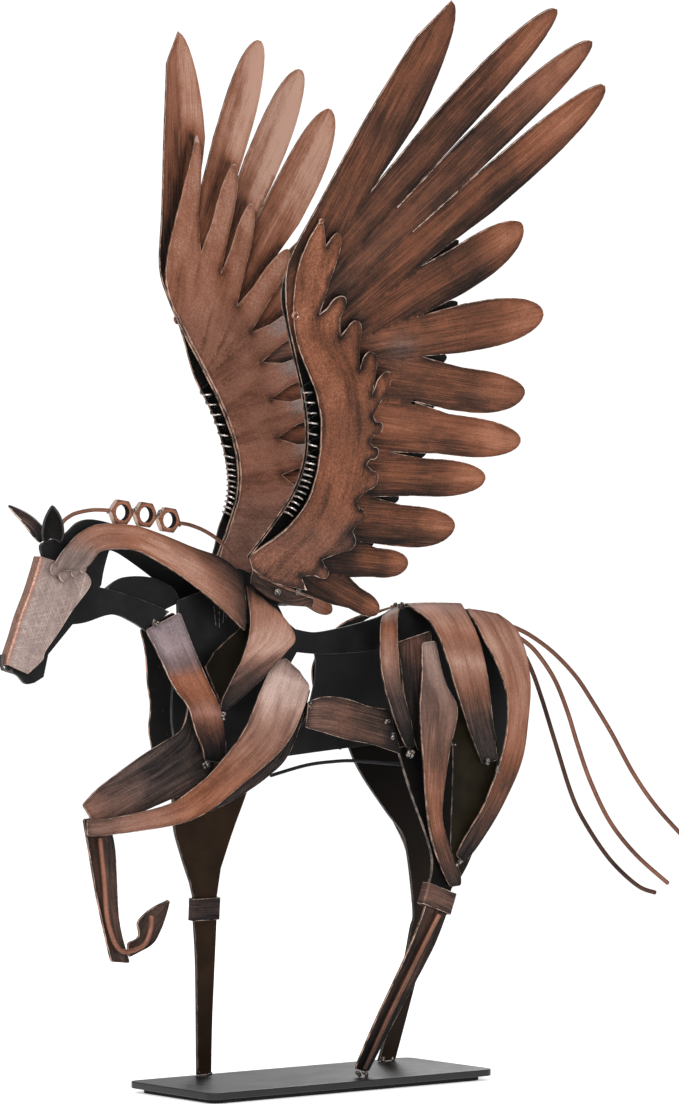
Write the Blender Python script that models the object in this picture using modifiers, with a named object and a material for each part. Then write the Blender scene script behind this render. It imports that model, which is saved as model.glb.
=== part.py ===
"""A winged horse welded from brushed sheet-metal straps, standing on a steel plate.

Metres, +Z up. The horse faces -X, its left side is -Y, and the origin is the middle of the
underside. The figure's own places are in units: its height over the soles is FIGURE_UNITS of them.
"""

import math

import bmesh
import bpy
from mathutils import Vector
from mathutils.geometry import delaunay_2d_cdt

# Sizes of the metal, in metres
FIGURE_HEIGHT = 0.593
BASE_LENGTH = 0.200
BASE_WIDTH = 0.079
BASE_THICKNESS = 0.0042
BASE_CORNER = 0.006
PAD_THICKNESS = 0.0024
PAD_INSET = 0.005
SKELETON = 0.0020
SHEET = 0.0012
WELD_GAP = 0.0003
MANE_WIRE = 0.0022
BELLY_WIRE = 0.0020
TAIL_ROD = 0.0026
LEG_ROD = 0.0028
SPRING_WIRE = 0.0011
SPRING_DIAMETER = 0.0080
NUT_ACROSS_FLATS = 0.0132
NUT_BORE = 0.0083
NUT_THICKNESS = 0.0042
THROAT_BAND_ROOM = 0.0004

# The figure's proportions, in units
FIGURE_UNITS = 593.0
SOLE = 6.6
UNIT = FIGURE_HEIGHT / FIGURE_UNITS
BASE_TOP = PAD_THICKNESS + BASE_THICKNESS
STRAP_SEAT = SKELETON / 2 + WELD_GAP + SHEET / 2
NOSE_HALF_WIDTH = 2.8
LEFT, RIGHT = -1, 1
SIDES = {"left": LEFT, "right": RIGHT}

# The wing's middle surface: how far out it stands, from its root
WING_ROOT = (-55.0, 15.2, 298.0)
WING_LEAN = 0.2188
WING_CURL = 0.0004
WING_SPREAD = 0.147
COVERT_GAP = 2.5
SPRING_ROOM = 8.8
HOLLOW_FOOT, HOLLOW_TOP = 296.0, 428.0

# Cross-sections of the straps: place across from -1 to 1, and how far out, in strap widths
FLAT = ((-1, 0), (1, 0))
CROWNED = ((-1, 0), (0, 0.05), (1, 0))
TROUGH = ((-1, 0), (0.1, -0.12), (1, 0))
EAR_CUP = ((-1, 0), (-0.6, -0.26), (0, -0.38), (0.6, -0.26), (1, 0))
HOOF_CUP = ((-1, 0), (0, -0.12), (1, 0))


def clear_scene():
    for thing in list(bpy.data.objects):
        bpy.data.objects.remove(thing, do_unlink=True)


def new_collection(name, hidden=False):
    collection = bpy.data.collections.new(name)
    bpy.context.scene.collection.children.link(collection)
    collection.hide_render = hidden
    return collection


def paint(name, color, roughness, metallic):
    material = bpy.data.materials.new(name)
    material.use_nodes = True
    shader = material.node_tree.nodes["Principled BSDF"]
    shader.inputs["Base Color"].default_value = (*color, 1.0)
    shader.inputs["Roughness"].default_value = roughness
    shader.inputs["Metallic"].default_value = metallic
    return material


clear_scene()
PARTS = new_collection("metal_pegasus_statue")
CUTTERS = new_collection("cutters", hidden=True)
FRAME = bpy.data.objects.new("pegasus_frame", None)
PARTS.objects.link(FRAME)

COPPER = paint("copper_brown", (0.27, 0.11, 0.065), 0.45, 0.75)
DARK_COPPER = paint("dark_copper", (0.10, 0.05, 0.03), 0.5, 0.75)
SILVER_PINK = paint("silver_pink", (0.40, 0.30, 0.25), 0.4, 0.8)
BLACK = paint("satin_black", (0.012, 0.012, 0.014), 0.45, 0.4)
SPRING_STEEL = paint("spring_steel", (0.10, 0.08, 0.07), 0.35, 0.9)


def place(x, y, z):
    """A point of the figure, from units to metres."""
    return Vector((x * UNIT, y * UNIT, BASE_TOP + (z - SOLE) * UNIT))


def finish(thing, material):
    """Puts a finished object in the collection, with its own copy of the material."""
    own = material.copy()
    own.name = thing.name
    thing.data.materials.clear()
    thing.data.materials.append(own)
    PARTS.objects.link(thing)
    thing.parent = FRAME
    return thing


def smooth(rows, steps):
    """Rows of numbers run through by a smooth curve, cut into this many steps a span."""
    result = []
    last = len(rows) - 1
    for i in range(last):
        before = rows[max(i - 1, 0)]
        after = rows[min(i + 2, last)]
        for k in range(steps):
            t = k / steps
            result.append(
                tuple(
                    b + 0.5 * t * (c - a + t * (2 * a - 5 * b + 4 * c - d + t * (3 * (b - c) + d - a)))
                    for a, b, c, d in zip(before, rows[i], rows[i + 1], after)
                )
            )
    result.append(tuple(rows[last]))
    return result


def sheet_from_grid(name, rows, material, thickness=SHEET):
    """A sheet of even thickness on a grid of points."""
    wide = len(rows[0])
    points = [point for row in rows for point in row]
    faces = []
    for i in range(len(rows) - 1):
        for k in range(wide - 1):
            corner = i * wide + k
            faces.append((corner, corner + 1, corner + wide + 1, corner + wide))
    mesh = bpy.data.meshes.new(name)
    mesh.from_pydata(points, [], faces)
    mesh.shade_smooth()
    mesh.set_sharp_from_angle(angle=math.radians(30))
    strap = bpy.data.objects.new(name, mesh)
    thicken(strap, thickness)
    return finish(strap, material)


def thicken(thing, thickness):
    solidify = thing.modifiers.new("thickness", "SOLIDIFY")
    solidify.thickness = thickness
    solidify.offset = 0
    solidify.use_even_offset = True


def strap(name, side, stations, material, section=FLAT, steps=2):
    """A bent strap. A station is x, z, how far out of its seat, width, turn and lean in degrees."""
    full = [station if len(station) == 6 else station + (0,) for station in stations]
    rows = smooth(full, steps)
    middles = []
    for x, z, out, width, turn, lean in rows:
        middle = place(x, 0, z)
        middle.y = side * (STRAP_SEAT + out * UNIT)
        middles.append(middle)
    grid = []
    for i, (x, z, out, width, turn, lean) in enumerate(rows):
        along = middles[min(i + 1, len(rows) - 1)] - middles[max(i - 1, 0)]
        turned = math.radians(turn)
        leaned = math.radians(lean)
        level = math.cos(leaned)
        across = Vector((math.cos(turned) * level, side * math.sin(leaned), math.sin(turned) * level))
        outward = across.cross(along).normalized()
        if outward.y * side < 0:
            outward.negate()
        size = width * UNIT
        grid.append([middles[i] + across * (u * size / 2) + outward * (v * size) for u, v in section])
    return sheet_from_grid(name, grid, material)


def outline(*runs, steps=3):
    """A closed outline: each run of points is smooth, and straight edges join one run to the next."""
    points = []
    for run in runs:
        points += smooth(run, steps) if len(run) > 2 else list(run)
    return points


def plate(name, y, points, material, thickness=SKELETON, lean=0.0):
    """A flat plate cut to an outline. It stands y units off the middle at the soles, and leans inward."""
    curve = bpy.data.curves.new(name, "CURVE")
    curve.dimensions = "2D"
    curve.fill_mode = "BOTH"
    curve.extrude = thickness / 2
    spline = curve.splines.new("POLY")
    spline.points.add(len(points) - 1)
    for point, (x, z) in zip(spline.points, points):
        point.co = (x * UNIT, (z - SOLE) * UNIT, 0, 1)
    spline.use_cyclic_u = True
    cut = bpy.data.objects.new(name, curve)
    cut.location = place(0, y, SOLE)
    cut.rotation_euler = (math.radians(90) + math.atan(lean), 0, 0)
    return finish(cut, material)


def wire(name, points, diameter, material, steps=2, resolution=1):
    """A round wire through points of the figure."""
    curve = bpy.data.curves.new(name, "CURVE")
    curve.dimensions = "3D"
    curve.bevel_depth = diameter / 2
    curve.bevel_resolution = resolution
    curve.use_fill_caps = True
    route = smooth(points, steps) if steps > 1 else points
    spline = curve.splines.new("POLY")
    spline.points.add(len(route) - 1)
    for point, (x, y, z) in zip(spline.points, route):
        point.co = (*place(x, y, z), 1)
    return finish(bpy.data.objects.new(name, curve), material)


def object_from_bmesh(name, form):
    mesh = bpy.data.meshes.new(name)
    form.to_mesh(mesh)
    form.free()
    return bpy.data.objects.new(name, mesh)


def cut_out(thing, cutter):
    """Subtracts a cutter, which stays in the scene unseen."""
    CUTTERS.objects.link(cutter)
    cutter.hide_render = True
    cutter.display_type = "WIRE"
    cut = thing.modifiers.new("cut", "BOOLEAN")
    cut.operation = "DIFFERENCE"
    cut.solver = "EXACT"
    cut.object = cutter


def box(name, size):
    form = bmesh.new()
    bmesh.ops.create_cube(form, size=1.0)
    bmesh.ops.scale(form, vec=Vector(size), verts=form.verts)
    return object_from_bmesh(name, form)


def make_base():
    for name, thickness, inset, floor in (
        ("base_plate", BASE_THICKNESS, 0.0, PAD_THICKNESS + WELD_GAP),
        ("base_pad", PAD_THICKNESS, PAD_INSET, 0.0),
    ):
        height = thickness - (WELD_GAP if inset == 0 else 0)
        slab = box(name, (BASE_LENGTH - 2 * inset, BASE_WIDTH - 2 * inset, height))
        slab.location.z = floor + height / 2
        round_off = slab.modifiers.new("corners", "BEVEL")
        round_off.width = BASE_CORNER
        round_off.segments = 3
        round_off.limit_method = "WEIGHT"
        weights = slab.data.attributes.new("bevel_weight_edge", "FLOAT", "EDGE")
        for edge in slab.data.edges:
            ends = [slab.data.vertices[i].co for i in edge.vertices]
            upright = abs(ends[0].z - ends[1].z) > height / 2
            weights.data[edge.index].value = 1.0 if upright else 0.0
        finish(slab, BLACK)


def make_skeleton():
    """The black plates down the middle of the horse."""
    plate(
        "head_neck_plate",
        0,
        outline(
            [(-184, 297), (-186, 305), (-179, 308), (-170, 311), (-162, 317), (-154, 319), (-145, 318)],
            [(-132, 315), (-120, 312), (-119, 305), (-138, 305)],
            [(-141, 301), (-144, 292), (-146, 283)],
            [(-147, 282), (-133, 279), (-113, 273), (-100, 268)],
            [(-115, 257), (-126, 263), (-139, 267), (-156, 263), (-165, 262)],
            [(-181, 246), (-184, 234)],
            [(-190, 231), (-196, 230.5), (-201, 235), (-207, 237)],
            [(-210.8, 238.2), (-212, 242.5), (-211.6, 246.6)],
            [(-209.2, 246.8), (-210.3, 240.2), (-205, 239.2), (-201, 256)],
            steps=2,
        ),
        BLACK,
    )
    plate(
        "back_plate",
        0,
        outline(
            [(-94.6, 274), (-67, 283), (-55, 291), (-44, 288), (-30, 277), (-20, 262)],
            [
                (-13, 257), (1, 255), (18, 257), (34, 260), (47, 263), (62, 268), (92, 268),
                (121, 264), (141, 258.5),
            ],
            [(141, 246), (140.5, 238)],
            [(141, 222), (141.5, 200), (135, 174), (118, 175), (106, 203), (95, 226), (84, 238), (66, 243)],
            [(46, 244.5), (31, 243), (6, 242.5), (-12, 244)],
            [
                (-19, 234), (-22, 218), (-30, 198), (-58, 187), (-84, 188), (-96, 197), (-98.5, 219),
                (-93.5, 248),
            ],
            steps=2,
        ),
        BLACK,
    )
    plate(
        "throat_band",
        (STRAP_SEAT + THROAT_BAND_ROOM) / UNIT,
        outline(
            [(-142, 281), (-130, 287), (-111, 287), (-96, 281), (-91, 273)],
            [(-104, 268), (-118, 272), (-131, 276)],
            steps=2,
        ),
        BLACK,
        thickness=SHEET,
    )


FACE_STATIONS = (
    (-187, 299, -162, 292, 5.5),
    (-189, 293, -157, 284, 6.5),
    (-194, 280, -169, 270, 6.5),
    (-200, 267, -178, 258, 6.0),
    (-204, 256, -186, 248, 5.2),
    (-208, 246, -188, 243, 4.8),
    (-209, 241, -197, 236, 4.4),
)


def make_head():
    """The folded face and the two ears."""
    grid = []
    for nose_x, nose_z, jaw_x, jaw_z, jaw_out in FACE_STATIONS:
        grid.append(
            [
                place(jaw_x, -jaw_out, jaw_z),
                place(nose_x, -NOSE_HALF_WIDTH, nose_z),
                place(nose_x, NOSE_HALF_WIDTH, nose_z),
                place(jaw_x, jaw_out, jaw_z),
            ]
        )
    sheet_from_grid("face_plate", grid, SILVER_PINK)
    ear = [
        (-180.5, 306.5, 2.5, 9.6, 0, 20),
        (-182.5, 311, 5.6, 12, 0, 20),
        (-185.5, 317, 10, 10.6, 0, 20),
        (-189, 322, 15, 6.6, 0, 20),
        (-192, 325.8, 18.8, 1.4, 0, 20),
    ]
    for word, side in SIDES.items():
        strap(f"{word}_ear", side, ear, BLACK, section=EAR_CUP, steps=1)


CREST_STATIONS = [
    (-174.3, 291.3, 6.4, 20.4, 2, 0),
    (-169.6, 296.3, 6.4, 21, -8, 5),
    (-162.6, 303.5, 6.0, 18, -18, 14),
    (-155.5, 307.4, 5.5, 16.5, -42, 23),
    (-147, 309.4, 5.4, 16.6, -62, 26),
    (-133, 309, 5.6, 17, -76, 31),
    (-121, 306, 6.2, 20, -83, 30),
    (-103, 298, 8, 26, -78, 25),
    (-84, 288, 9, 33, -80, 22),
    (-67, 279, 10, 38, -88, 18),
    (-58, 272, 10.5, 32, -100, 18),
]


def make_neck():
    for word, side in SIDES.items():
        strap(f"{word}_crest_band", side, CREST_STATIONS, COPPER, section=CROWNED, steps=1)
    rest = NUT_ACROSS_FLATS / 2 / UNIT
    nuts = [(-132.4, 316 + rest), (-116.4, 314.7 + rest), (-100.6, 311.7 + rest)]
    for number, (x, z) in enumerate(nuts, 1):
        make_nut(f"mane_nut_{number}", x, z)
    corner = NUT_ACROSS_FLATS / math.sqrt(3) / UNIT
    front_x = nuts[0][0] - corner - 0.4
    rear_x = nuts[2][0] + corner + 0.5
    wire(
        "front_mane_wire",
        [
            (-173.2, 0, 311.3), (-171.2, 0, 317), (-166.5, 0, 320.5), (-161, 0, 322.5),
            (-151, 0, 324), (front_x, 0, 323.8),
        ],
        MANE_WIRE,
        COPPER,
    )
    wire(
        "rear_mane_wire",
        [
            (rear_x, 0, 316.6), (-85, 0, 315.4), (-75, 0, 312), (-65, 0, 306.4), (-57, 0, 299),
            (-52.5, 0, 292.6),
        ],
        MANE_WIRE,
        COPPER,
    )


NUT_TURN = 38


def make_nut(name, x, z):
    """A hexagon nut on edge, with its bore across the horse."""
    form = bmesh.new()
    bmesh.ops.create_cone(
        form,
        cap_ends=True,
        segments=6,
        radius1=NUT_ACROSS_FLATS / math.sqrt(3),
        radius2=NUT_ACROSS_FLATS / math.sqrt(3),
        depth=NUT_THICKNESS,
    )
    nut = object_from_bmesh(name, form)
    drill = bmesh.new()
    bmesh.ops.create_cone(
        drill,
        cap_ends=True,
        segments=12,
        radius1=NUT_BORE / 2,
        radius2=NUT_BORE / 2,
        depth=2 * NUT_THICKNESS,
    )
    bore = object_from_bmesh(f"{name}_bore", drill)
    for thing in (nut, bore):
        thing.location = place(x, 0, z)
        thing.rotation_euler = (math.radians(90), math.radians(NUT_TURN), 0)
    cut_out(nut, bore)
    finish(nut, COPPER)


THROAT_STRAP = [
    (-106, 263, 0.6, 25, 22, 0),
    (-100.8, 248, 4.6, 23, 9, 5),
    (-95.6, 229, 12, 21, 8, 11),
    (-90.5, 216, 17.6, 19, 0, 12),
    (-88.8, 203, 20.6, 18.5, 2, 5),
    (-87, 194.5, 21.8, 16.5, -4, 0),
    (-87, 186, 22.2, 13, -8, 0),
]
WITHERS_STRAP = [
    (-48, 280, 4, 7, -39, 18),
    (-44, 267, 11, 19, -1, 6),
    (-44, 254, 18, 32, -3, 0),
    (-53, 243, 22, 33, 6, -5),
    (-67, 231, 26, 24, 5, -2),
    (-79, 220, 27.5, 14, 8, 0),
    (-83.5, 215, 27.5, 5, 10, 0),
]
LEFT_SHOULDER_SWEEP = [
    (-32, 238, 21, 13, -40, 9),
    (-36, 228, 21.6, 31, -13, 0),
    (-49, 207.5, 26, 32, -14, 0),
    (-60.5, 195.5, 29.1, 29, -18, 0),
    (-74, 185.5, 31.1, 25.5, -18, 0),
    (-89, 175.5, 32.6, 21.5, -20, 0),
    (-107.6, 164.6, 33, 16.7, -44, 0),
    (-126, 158.5, 32.4, 12, -68, 0),
    (-164, 154, 31, 9, -82, 0),
    (-178, 154, 30.5, 9, -86, 0),
]
RIGHT_SHOULDER_SWEEP = [
    (-32, 238, 21, 13, -40, 9),
    (-34.5, 226, 21.8, 29, -10, 0),
    (-38, 208, 26, 28, -4, 0),
    (-45, 186, 29.5, 25, 0, 0),
    (-50, 164, 30.5, 20, 2, 0),
    (-53, 142, 30, 13, 2, 0),
    (-54, 124, 29.5, 7, 0, 0),
]


def make_front():
    """The straps of chest and shoulder, the raised left foreleg and the standing right one."""
    for word, side in SIDES.items():
        strap(f"{word}_throat_strap", side, THROAT_STRAP, COPPER)
        strap(f"{word}_withers_strap", side, WITHERS_STRAP, COPPER)
    strap("left_shoulder_sweep", LEFT, LEFT_SHOULDER_SWEEP, COPPER)
    strap("right_shoulder_sweep", RIGHT, RIGHT_SHOULDER_SWEEP, COPPER)
    strap(
        "left_elbow_band",
        LEFT,
        [
            (-22, 224, 15.6, 13, -2), (-33, 206, 19.4, 16, -6), (-46, 190, 23.5, 17, -22),
            (-60, 181, 26.5, 16, -28), (-78, 171.5, 29.4, 12, -38),
            (-98, 161.5, 30.6, 6, -45),
        ],
        DARK_COPPER,
    )
    strap(
        "left_forearm_plate",
        LEFT,
        [
            (-86.5, 206, 13.8, 33, -43), (-92.5, 198, 16.1, 27.5, -41), (-98.5, 190.5, 18.4, 33, -40),
            (-121, 180.6, 23.5, 42.5, -24), (-148.2, 170, 26, 32.5, -29), (-174.5, 160, 27.4, 15, -55),
        ],
        DARK_COPPER,
    )
    make_raised_shin()
    make_standing_foreleg()


def make_raised_shin():
    strap(
        "left_shin_trough",
        LEFT,
        [
            (-168, 159, 24.1, 16, 5), (-165.1, 142, 26.1, 17.6, 1), (-162.5, 117.6, 27.1, 14.2, 2),
            (-159.8, 98.7, 28.1, 11.4, 2), (-154.2, 80.3, 28.1, 12.9, -7),
        ],
        DARK_COPPER,
        section=TROUGH,
    )
    wire(
        "left_shin_rod",
        [
            (-166.8, -28.9, 147.6), (-165, -30.4, 124), (-164, -31.4, 105.7),
            (-160.3, -32.3, 92.9), (-155.9, -32.6, 87.3), (-149.6, -32.6, 86.2),
            (-140, -32.4, 89.6), (-136, -32.4, 97.1), (-135.3, -32.4, 104.2),
        ],
        LEG_ROD,
        COPPER,
    )
    strap(
        "left_raised_hoof",
        LEFT,
        [
            (-148.4, 86.6, 27.3, 8.2, -84), (-140.2, 89.8, 27.3, 8.2, -69),
            (-136.9, 95.3, 27.3, 15.9, -44), (-131.8, 101.8, 27.3, 14.3, -32),
            (-126.4, 107.8, 27.3, 8.8, -24), (-121.4, 112, 27.3, 1.6, -11),
        ],
        DARK_COPPER,
        section=HOOF_CUP,
    )


FORELEG_Y, FORELEG_LEAN = 36.0, 0.062
FORELEG_KNEE = (-53.5, 100.5)


def make_standing_foreleg():
    """A cut plate down to the knee, a tapered one below, and the band that joins them."""
    plate(
        "right_foreleg_plate",
        FORELEG_Y,
        outline(
            [(-61.6, 101.2), (-61.8, 108)],
            [(-64.4, 116), (-71, 131), (-77, 148), (-79, 170)],
            [(-74, 194), (-62, 204), (-46, 207), (-22, 203)],
            [(-19, 190), (-27, 166), (-36, 144), (-43.6, 123)],
            [(-45.6, 108), (-45.6, 101.2)],
            steps=2,
        ),
        DARK_COPPER,
        lean=FORELEG_LEAN,
    )
    plate(
        "right_fore_cannon",
        FORELEG_Y,
        outline(
            [(-61.4, 100.8), (-60.8, 94), (-58, 68), (-54.5, SOLE + 0.5)],
            [(-45, SOLE + 0.5), (-45.6, 35), (-45.5, 59), (-45.2, 94), (-45.6, 100.8)],
            steps=2,
        ),
        DARK_COPPER,
        lean=FORELEG_LEAN,
    )
    x, z = FORELEG_KNEE
    make_band(
        "right_knee_band",
        (x, FORELEG_Y - FORELEG_LEAN * (z - SOLE), z),
        hole=(0.0167, SKELETON + 4 * WELD_GAP),
        height=0.0125,
        tilt=(FORELEG_LEAN, 0),
    )


def make_band(name, middle, hole, height, tilt):
    """A rectangular band round a leg, open above and below."""
    around = box(name, (hole[0] + 2 * SHEET, hole[1] + 2 * SHEET, height))
    inside = box(f"{name}_hole", (hole[0], hole[1], 2 * height))
    for thing in (around, inside):
        thing.location = place(*middle)
        thing.rotation_euler = (math.atan(tilt[0]), math.radians(tilt[1]), 0)
    cut_out(around, inside)
    finish(around, DARK_COPPER)


FLANK_BAND = [
    (-22, 210.3, 20.6, 14.5, -98, 0),
    (-10, 210, 21, 20, -93, -5),
    (4, 207, 24, 23, -86, -5),
    (20, 203, 25.5, 22, -80, -4),
    (37, 199, 25, 27, -70, 0),
]
BARREL_SHEET = [
    (33, 245.6, 0.2, 62, 0, 0),
    (36, 235, 5, 58, 0, 0),
    (38, 220, 11, 58, 0, 0),
    (38.5, 204, 15.6, 65, 1, 0),
    (35.6, 187.5, 18, 79.5, 4, 0),
]


def make_middle():
    for word, side in SIDES.items():
        strap(f"{word}_flank_band", side, FLANK_BAND, DARK_COPPER)
    strap("right_barrel_sheet", RIGHT, BARREL_SHEET, BLACK, steps=1)
    wire(
        "belly_wire",
        [
            (-41, -15, 176.6), (-17, -15.5, 181.5), (2, -16, 183), (17, -17, 183), (38, -20.6, 181),
            (50, -22.1, 180),
        ],
        BELLY_WIRE,
        BLACK,
    )


CROUP_FRONT_STRAP = [
    (56.5, 267.4, 0.6, 12.6, 16, -8),
    (46, 263.2, 9.4, 13, 8, -5),
    (38, 255.5, 18.5, 12.4, 0, 0),
    (31, 239, 28, 13, -1, 0),
    (31, 225, 31, 12, -1, 0),
    (38, 208, 30, 12, -2, 0),
    (47.5, 190, 26.4, 6, 14, 0),
]
HAUNCH_INNER_BAND = [
    (56, 252, 18.6, 29, 12, -8),
    (53, 238, 23.8, 22, 6, 0),
    (52, 222, 26, 19, -1, 0),
    (54, 205, 25, 14, -2, 0),
    (57, 188, 24.9, 7, -2, 0),
]
THIGH_SPEAR = [
    (62.6, 249, 23.4, 11, 4, -7),
    (62, 227, 28.6, 17, -6, 0),
    (64, 211, 31, 28, -2, -2),
    (61.5, 186, 31.4, 20, -2, -3),
    (61.5, 155, 30.2, 12, -2, -4),
    (66.2, 137.3, 29, 12, 0, -3),
    (75.3, 118.5, 28.4, 12, 0, 0),
    (78.4, 110.6, 28.2, 8, 4, 0),
]
RIGHT_THIGH_SPEAR = [
    (61, 248, 23.4, 8, 15, -7),
    (62.5, 227, 28.6, 17, -7, 0),
    (67, 211, 31, 28, -2, -2),
    (73, 186, 31, 20, -2, -3),
    (83, 155, 29, 14, -2, -4),
    (93.5, 132, 27.4, 10, 8, -3),
    (97, 112, 26.4, 5, 0, 0),
]
CROUP_STRAP = [
    (84.8, 269.6, 0.8, 42, 0, -3),
    (86.5, 262.3, 11, 34.4, -1, -6),
    (86.2, 252.4, 20.5, 31.6, -3, -5),
    (86.5, 240, 26.8, 30.4, -5, -5),
    (89.5, 224, 29.3, 26, -3, -3),
    (95.8, 202, 29, 19, 0, 0),
    (105, 180, 26.4, 11.6, 10, 0),
]
RUMP_STRAP = [
    (120.6, 264.9, 0.8, 25, -8, -3),
    (125.2, 257.2, 6.6, 37.4, -5, -13),
    (128.6, 247, 11, 38, -1, -17),
    (131.5, 236, 14.6, 35.5, 2, -21),
    (132.6, 221, 18.6, 31.5, 3, -24),
    (130.4, 203, 21, 26, -5, -24),
    (123, 182, 24.6, 22, -9, -18),
    (108, 157, 27.2, 19, 6, -10),
    (91.5, 137, 28.2, 13, -14, -4),
    (81.6, 125.6, 28.2, 7.5, -38, 0),
]
RIGHT_RUMP_STRAP = RUMP_STRAP[:6] + [
    (124, 182, 24.4, 23, -7, -18),
    (115, 157, 25.2, 19, 6, -10),
    (106.5, 137, 26.2, 9, -20, -4),
]
THIGH_Y, THIGH_LEAN = -31.6, -0.041
HIND_LEG_Y, HIND_LEG_LEAN = 29.0, 0.033


def make_haunch():
    """The straps over both haunches and the two hind legs."""
    for word, side in SIDES.items():
        strap(f"{word}_croup_front_strap", side, CROUP_FRONT_STRAP, COPPER)
        strap(f"{word}_croup_strap", side, CROUP_STRAP, COPPER)
    strap("left_haunch_inner_band", LEFT, HAUNCH_INNER_BAND, DARK_COPPER)
    strap("left_thigh_spear", LEFT, THIGH_SPEAR, COPPER)
    strap("right_thigh_spear", RIGHT, RIGHT_THIGH_SPEAR, COPPER)
    strap("left_rump_strap", LEFT, RUMP_STRAP, COPPER)
    strap("right_rump_strap", RIGHT, RIGHT_RUMP_STRAP, COPPER)
    plate(
        "left_thigh_plate",
        THIGH_Y,
        outline(
            [(41, 190), (50, 164), (61, 138), (64, 124), (61.4, 113)],
            [(60.4, 109), (75, 103.6)],
            [(77.4, 109.4), (84, 115), (94, 130), (109, 164), (114, 186)],
            [(112, 200), (104, 212)],
            [(73, 213), (67, 194)],
            steps=2,
        ),
        DARK_COPPER,
        lean=THIGH_LEAN,
    )
    make_band("left_hock_band", (67.2, -27.5, 104), hole=(0.0196, 0.0044), height=0.0125, tilt=(0, 20))
    strap(
        "left_hind_trough",
        LEFT,
        [
            (66.6, 99.6, 26.6, 16.4, -20), (57, 80, 26.3, 16.5, -14), (45, 60, 25.4, 15, -13),
            (30, 36.5, 24.6, 13, -13), (14.2, 10.4, 24, 10, -16),
        ],
        DARK_COPPER,
        section=TROUGH,
    )
    wire(
        "left_hind_rod",
        [(67, -29.3, 94.6), (57.5, -28.9, 80), (31, -27.7, 37.5), (15.4, -27.2, 11)],
        LEG_ROD,
        COPPER,
        steps=1,
    )
    plate(
        "right_hind_leg_plate",
        HIND_LEG_Y,
        outline(
            [
                (28, 238), (33, 214), (44, 187), (54, 171), (72, 150), (83, 138), (88, 124),
                (93, 92), (91, 82), (85, 55), (69.5, SOLE + 0.5),
            ],
            [
                (81.5, SOLE + 0.5), (95, 50), (101, 72), (101.5, 92), (104, 110), (106, 130),
                (109, 164), (111, 192), (107, 222), (99, 239),
            ],
            steps=2,
        ),
        DARK_COPPER,
        lean=HIND_LEG_LEAN,
    )


def make_tail():
    routes = [
        [
            (141.7, 0, 257), (157, -1, 251), (175, -2, 240), (191, -3, 226), (203, -4, 211),
            (217, -5, 192), (233, -6, 168), (250, -7, 148), (272, -8, 128),
        ],
        [
            (141.9, 0, 252.6), (151, 0, 249), (163, 0, 241), (177, 0, 225), (187, 0, 206),
            (195, 0, 186), (205, 0, 164), (220, 0, 140), (240, 0, 120), (265, 0, 102),
        ],
        [
            (142, 0, 248.4), (152, 1, 243), (162, 3, 231), (172, 5, 213), (184, 7, 187),
            (197, 8, 157), (208, 8, 139), (227, 8, 117), (248, 8, 101), (262, 8, 96),
        ],
    ]
    for number, route in enumerate(routes, 1):
        wire(f"tail_rod_{number}", route, TAIL_ROD, COPPER if number < 3 else DARK_COPPER)


def wing_out(x, z):
    """How far out the wing's middle surface stands at a place, in units."""
    root_x, root_out, root_z = WING_ROOT
    rise = z - root_z
    return root_out + WING_LEAN * rise + WING_CURL * rise * rise + WING_SPREAD * (x - root_x)


def spring_hollow(z):
    """From 0 to 1: how much the outer coverts bulge to make room for the spring at this height."""
    rise = min(max((z - HOLLOW_FOOT) / 20, 0), 1)
    fall = min(max((HOLLOW_TOP - z) / 40, 0), 1)
    return rise * rise * (3 - 2 * rise) * fall * fall * (3 - 2 * fall)


def main_lift(x, z):
    return 0.0


def inner_lift(x, z):
    return -COVERT_GAP


def outer_lift(x, z):
    behind_edge = min(max((x + 32) / 60, 0), 1)
    return COVERT_GAP + SPRING_ROOM * spring_hollow(z) * (1 - 0.6 * behind_edge)


def feather(before, tip, after, left, right, blunt=2.2, shares=(0.3, 0.6, 0.82, 0.95)):
    """Half round a feather, from one notch by its tip to the next, with its width on either side."""
    base = ((before[0] + after[0]) / 2, (before[1] + after[1]) / 2)
    along = (tip[0] - base[0], tip[1] - base[1])
    length = math.hypot(*along)
    along = (along[0] / length, along[1] / length)
    normal = (-along[1], along[0])
    rising = []
    falling = []
    for notch, width, points in ((before, left, rising), (after, -right, falling)):
        away = (notch[0] - base[0], notch[1] - base[1])
        reach = (away[0] * along[0] + away[1] * along[1]) / length
        start = away[0] * normal[0] + away[1] * normal[1]
        full = max(0.35, reach + 0.3)
        for share in shares:
            if share < reach + 0.02:
                continue
            taper = math.sqrt(1 - (max(share - 0.5, 0) / 0.5) ** blunt)
            grown = min((share - reach) / (full - reach), 1)
            offset = (start + (width - start) * grown) * taper
            points.append(
                (
                    base[0] + along[0] * length * share + normal[0] * offset,
                    base[1] + along[1] * length * share + normal[1] * offset,
                )
            )
    return rising + [tip] + falling[::-1] + [after]


def inside(point, points):
    x, z = point
    odd = False
    for (x1, z1), (x2, z2) in zip(points, points[1:] + points[:1]):
        if (z1 > z) != (z2 > z) and x < (x2 - x1) * (z - z1) / (z2 - z1) + x1:
            odd = not odd
    return odd


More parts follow.
